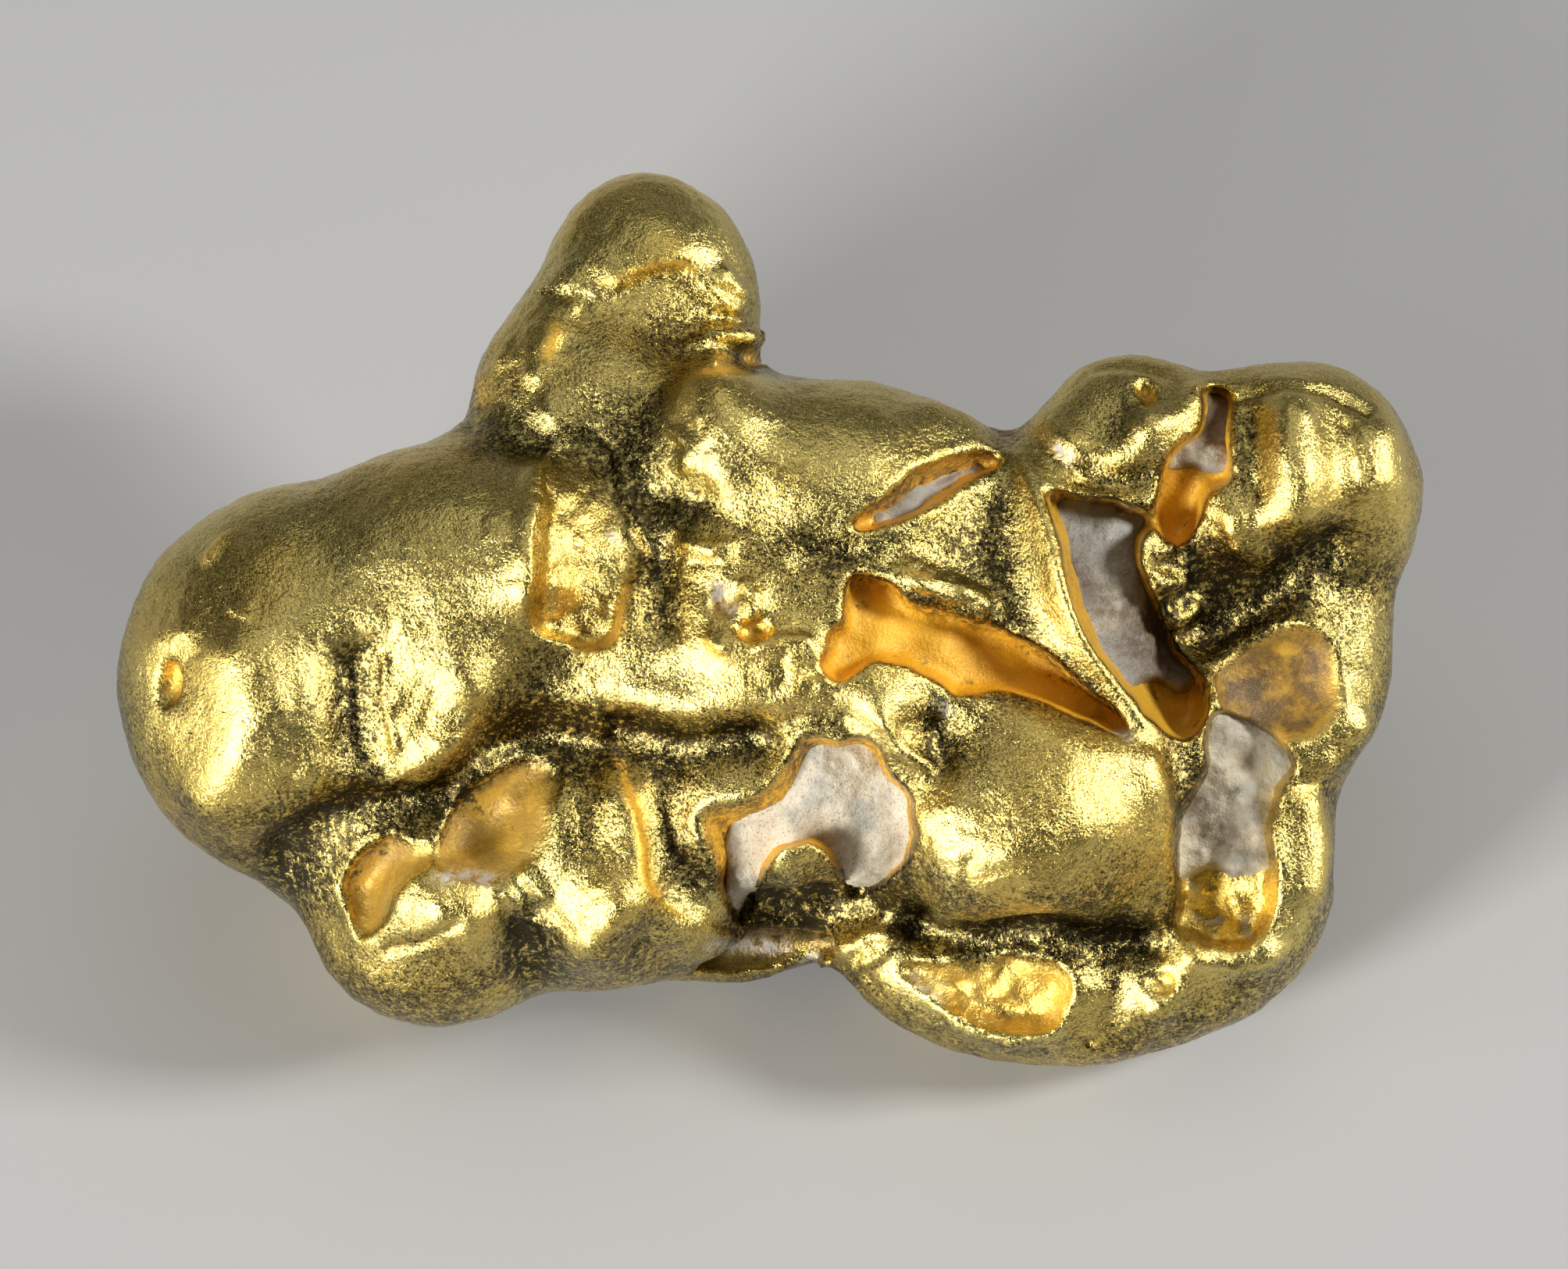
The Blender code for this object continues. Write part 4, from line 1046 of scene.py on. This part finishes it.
class Look:  # a material with one Principled shader
    def __init__(self, name, **fixed):
        self.material = bpy.data.materials.new(name)
        self.material.use_nodes = True
        self.tree = self.material.node_tree
        self.shader = self.tree.nodes["Principled BSDF"]
        for socket, value in fixed.items():
            self.shader.inputs[socket.replace("_", " ")].default_value = value
        self.spot = self.node("VectorMath", {"operation": "SCALE"}, {
            "Vector": self.node("TexCoord", out="Object"), "Scale": 1 / mm,
        })

    def node(self, kind, settings=None, sockets=None, out=0):
        made = self.tree.nodes.new("ShaderNode" + kind)
        for name, value in (settings or {}).items():
            setattr(made, name, value)
        for name, value in (sockets or {}).items():
            if isinstance(value, Value):
                self.tree.links.new(value.socket, made.inputs[name])
            else:
                made.inputs[name].default_value = value
        return Value(self, made.outputs[out])

    def sum(self, operation, first, second):
        return self.node("Math", {"operation": operation}, {0: first, 1: second})

    def noise(self, size, detail=2.0, roughness=0.5, distortion=0.0):  # the size is in mm
        return self.node("TexNoise", {}, {
            "Vector": self.spot, "Scale": 1 / size, "Detail": detail,
            "Roughness": roughness, "Distortion": distortion,
        })

    def band(self, value, low, high, start=0.0, end=1.0):
        return self.node("MapRange", {"interpolation_type": "SMOOTHSTEP"}, {
            "Value": value, "From Min": low, "From Max": high, "To Min": start, "To Max": end,
        })

    def mask(self, name):
        return self.node("Attribute", {"attribute_name": name}, out="Fac")

    def mix(self, share, first, second):  # two colours
        return self.node("Mix", {"data_type": "RGBA"}, {0: share, 6: first, 7: second}, out=2)

    def bump(self, height, distance, under=None):
        sockets = {"Height": height, "Distance": distance * mm, "Strength": 1}
        if under:
            sockets["Normal"] = under
        return self.node("Bump", {}, sockets)

    def feed(self, **links):
        for socket, value in links.items():
            self.tree.links.new(value.socket, self.shader.inputs[socket.replace("_", " ")])
        return self.material


goldLook = {
    "lemon": (0.8, 0.64, 0.2, 1),
    "warm": (0.83, 0.61, 0.16, 1),
    "amber": (0.96, 0.51, 0.025, 1),
    "brown": (0.11, 0.058, 0.012, 1),
    "dust": (0.56, 0.52, 0.5, 1),
    # dark colour of the flecks of dirt and of the painted shade
    "grimeAndShade": (0.055, 0.042, 0.018, 1),
    # noises: size in mm, detail, roughness, distortion
    "tone": (1.6, 3),
    "grain": (0.05, 3, 0.7),
    "streaks": (0.13, 4, 0.65, 0.5),
    "specks": (0.038, 3, 0.7, 0.6),
    "patches": (1.1, 3, 0.6),
    "stainAndShadeEdge": (0.4, 4, 0.65),
    "creaseEdge": (0.3, 5, 0.7),
    "valleyEdge": (0.1, 4, 0.7),
    "underEdge": (0.1, 5, 0.75),
    "dustEdge": (0.15, 4, 0.7),
    # shares of the colour that the flecks of dirt, the darker creases and the painted shade take
    "flecks": 0.7,
    "creaseDarkening": 0.6,
    "valleyShade": 0.84,
    "underShade": 0.68,
    "clearedFlecks": 0.85,  # share of the flecks that is worn off a crest and cleared on the lines of painted highlight
    "cleanHollow": 0.7,  # share of the flecks that a hollow is free of
    "relief": 0.017,  # height of the grain and the streaks, in mm
    # roughness of clean gold, and what the grain, the amber and the dust add to it
    "rough": 0.19, "grainRough": 0.1, "amberRough": 0.22, "dustRough": 0.2,
    "amberDull": 0.75, "stainDull": 0.4,  # how far the amber, a painted reflection, and the brown, partly stain and partly painted shade, take the metal's shine away
}


def nativeGold():
    look = Look("nativeGold", Metallic=1.0)
    edge = {
        kind: look.noise(*goldLook[kind + "Edge"])
        for kind in ("stainAndShade", "crease", "valley", "under", "dust")
    }
    amber = look.mask("amber")
    grain = look.noise(*goldLook["grain"])
    streaks = look.noise(*goldLook["streaks"])
    tone = look.band(look.noise(*goldLook["tone"]), 0.35, 0.65)
    colour = look.mix(tone, goldLook["lemon"], goldLook["warm"])
    # amber: painted reflection in the hollows and pits, and the seams' lines in the same amber
    colour = look.mix(amber, colour, goldLook["amber"])
    # brown in the hollows and pits: partly stain, partly painted shade
    stainAndShade = look.mask("stainAndShade") * look.band(edge["stainAndShade"], 0.3, 0.6, 0.45, 1)
    colour = look.mix(stainAndShade, colour, goldLook["brown"])
    # painted shade in the valleys and on the underside, darker patches in the creases, and dark
    # flecks of dirt all over
    # darker patches in the fine concave creases
    creases = look.band(edge["crease"], 0.56, 0.7) * look.band(look.mask("bulge"), 0.62, 0.3)
    valley = look.mask("valley") * look.band(edge["valley"], 0.72, 0.4)
    under = look.mask("under")
    patches = look.band(look.noise(*goldLook["patches"]), 0.34, 0.62)
    flecks = look.band(look.noise(*goldLook["specks"]), 0.45, 0.64) * goldLook["flecks"]
    # fewer flecks on the worn crests and on the lines of painted highlight
    flecks = flecks * (1 - look.mask("crestAndHighlight") * (1 - under) * goldLook["clearedFlecks"])
    flecks = flecks * (0.6 + patches * 0.4) * (1 - look.mask("hollow") * goldLook["cleanHollow"])
    under = under * look.band(edge["under"], 0.68, 0.42) * (0.45 + patches * 0.55)
    dirtAndShade = creases * goldLook["creaseDarkening"] + valley * goldLook["valleyShade"]
    dirtAndShade = dirtAndShade + under * goldLook["underShade"] + flecks
    colour = look.mix(look.band(dirtAndShade, 0, 1), colour, goldLook["grimeAndShade"])
    dust = look.mask("dust") * look.band(edge["dust"], 0.62, 0.42)
    colour = look.mix(dust, colour, goldLook["dust"])
    dull = amber * goldLook["amberDull"] + stainAndShade * goldLook["stainDull"] + dust
    rough = goldLook["rough"] + look.band(grain, 0.3, 0.7) * goldLook["grainRough"]
    rough = rough + amber * goldLook["amberRough"] + dust * goldLook["dustRough"]
    ground = look.bump(grain, goldLook["relief"], look.bump(streaks, goldLook["relief"]))
    metal = 1 - look.band(dull, 0, 1)
    return look.feed(Base_Color=colour, Roughness=rough, Normal=ground, Metallic=metal)


stoneLook = {
    "white": (0.7, 0.62, 0.46, 1),
    "grey": (0.39, 0.382, 0.33, 1),
    "rust": (0.2, 0.135, 0.055, 1),
    "brown": (0.13, 0.08, 0.035, 1),
    "plum": (0.13, 0.09, 0.08, 1),
    # noises: size in mm, detail, roughness, distortion
    "clouds": (0.7, 3),
    "rustSpots": (0.55, 5, 0.65, 0.3),
    "stainAndShadeEdge": (0.2, 4, 0.65),
    "pepper": (0.04, 4, 0.7),
    "glaze": (0.35, 4, 0.65),
    "pits": (0.14, 5, 0.7),
    "rustStrength": 0.8, "pepperStrength": 0.6,
    "relief": 0.04,  # height of the pits, in mm
}


def milkyQuartz(name, grey, rust, specks):  # the shares are of the surface that each takes
    look = Look(name, Roughness=0.42)
    clouds = look.noise(*stoneLook["clouds"])
    clouds = look.band(clouds, 0.62 - grey * 0.3, 0.8 - grey * 0.3)
    colour = look.mix(clouds, stoneLook["white"], stoneLook["grey"])
    spots = look.noise(*stoneLook["rustSpots"])
    spots = look.band(spots, 0.72 - rust * 0.35, 0.84 - rust * 0.35) * stoneLook["rustStrength"]
    colour = look.mix(spots, colour, stoneLook["rust"])
    patchy = look.band(look.noise(*stoneLook["stainAndShadeEdge"]), 0.32, 0.6, 0.55, 1)
    # brown patches: partly stain, partly painted shade
    colour = look.mix(look.mask("stainAndShade") * patchy, colour, stoneLook["brown"])
    pepper = look.noise(*stoneLook["pepper"])
    pepper = look.band(pepper, 0.64 - specks * 0.2, 0.8 - specks * 0.2)
    colour = look.mix(pepper * stoneLook["pepperStrength"], colour, stoneLook["plum"])
    rough = look.band(look.noise(*stoneLook["glaze"]), 0.3, 0.7, 0.3, 0.55)
    ground = look.bump(look.noise(*stoneLook["pits"]), stoneLook["relief"])
    return look.feed(Base_Color=colour, Roughness=rough, Normal=ground)


print("materials")
gold = nativeGold()
nugget = addPiece("nuggetSkin", goldMesh, gold)
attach(nugget, "root")
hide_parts("gold")
for name in grains:
    print("quartz:", name)
    crust = name.replace("quartz_", "crust_")
    stone = addPiece(crust, grainMesh(name), milkyQuartz(crust + "Quartz", **grains[name]["look"]))
    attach(stone, "root")
    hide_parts(name)


# Table, light and camera

studio = {
    "table": (0.46, 0.455, 0.44, 1),
    "tableMark": (0.38, 0.38, 0.36, 1),
    "tableSize": 600, "tableRough": 0.6,
    "room": 0.03,  # brightness of the dim room
    # lamps: direction (u, v, w) from the nugget, distance, width, power in watts
    "lamps": {
        "left": ((-0.68, -0.39, 0.62), 140, 37, 0.25),
        "leftLow": ((-0.92, -0.1, 0.3), 130, 30, 0.03),
        "right": ((0.85, 0.24, 0.47), 140, 30, 0.18),
        "ceiling": ((0.0, 0.78, 0.62), 160, 110, 0.045),
    },
}


def addTable():
    bm = bmesh.new()
    bmesh.ops.create_grid(bm, x_segments=1, y_segments=1, size=studio["tableSize"])
    look = Look("paleTable", Roughness=studio["tableRough"])
    marks = look.band(look.noise(40, 2), 0.3, 0.7, 0, 0.06)  # barely seen
    look.feed(Base_Color=look.mix(marks, studio["table"], studio["tableMark"]))
    table = addPiece("table", endMesh(bm, "table"), look.material)


def addAimed(name, data, direction, distance):  # a lamp or camera that looks back at the nugget
    obj = bpy.data.objects.new(name, data)
    bpy.context.scene.collection.objects.link(obj)
    out = (face.to_3x3() @ Vector(direction)).normalized()
    obj.location = (face @ Vector(view["aim"]) + out * distance) * mm
    obj.rotation_mode = "QUATERNION"
    obj.rotation_quaternion = (-out).to_track_quat("-Z", "Y")
    return obj


def addLamps():
    for name, (direction, distance, width, power) in studio["lamps"].items():
        lamp = bpy.data.lights.new(name, "AREA")
        lamp.size = width * mm
        lamp.energy = power
        addAimed(name, lamp, direction, distance)


def addCamera():
    camera = bpy.data.cameras.new("camera")
    camera.sensor_width = view["sensor"]
    camera.lens = view["sensor"] * view["distance"] / view["across"]
    camera.clip_start, camera.clip_end = view["clip"]
    bpy.context.scene.camera = addAimed("camera", camera, (0, 0, 1), view["distance"])


def setRoom():
    world = bpy.data.worlds.new("room")
    world.use_nodes = True
    world.node_tree.nodes["Background"].inputs["Color"].default_value = (1, 1, 1, 1)
    world.node_tree.nodes["Background"].inputs["Strength"].default_value = studio["room"]
    bpy.context.scene.world = world
    bpy.context.scene.view_settings.view_transform = "Standard"


print("table, light and camera")
addTable()
addLamps()
addCamera()
setRoom()
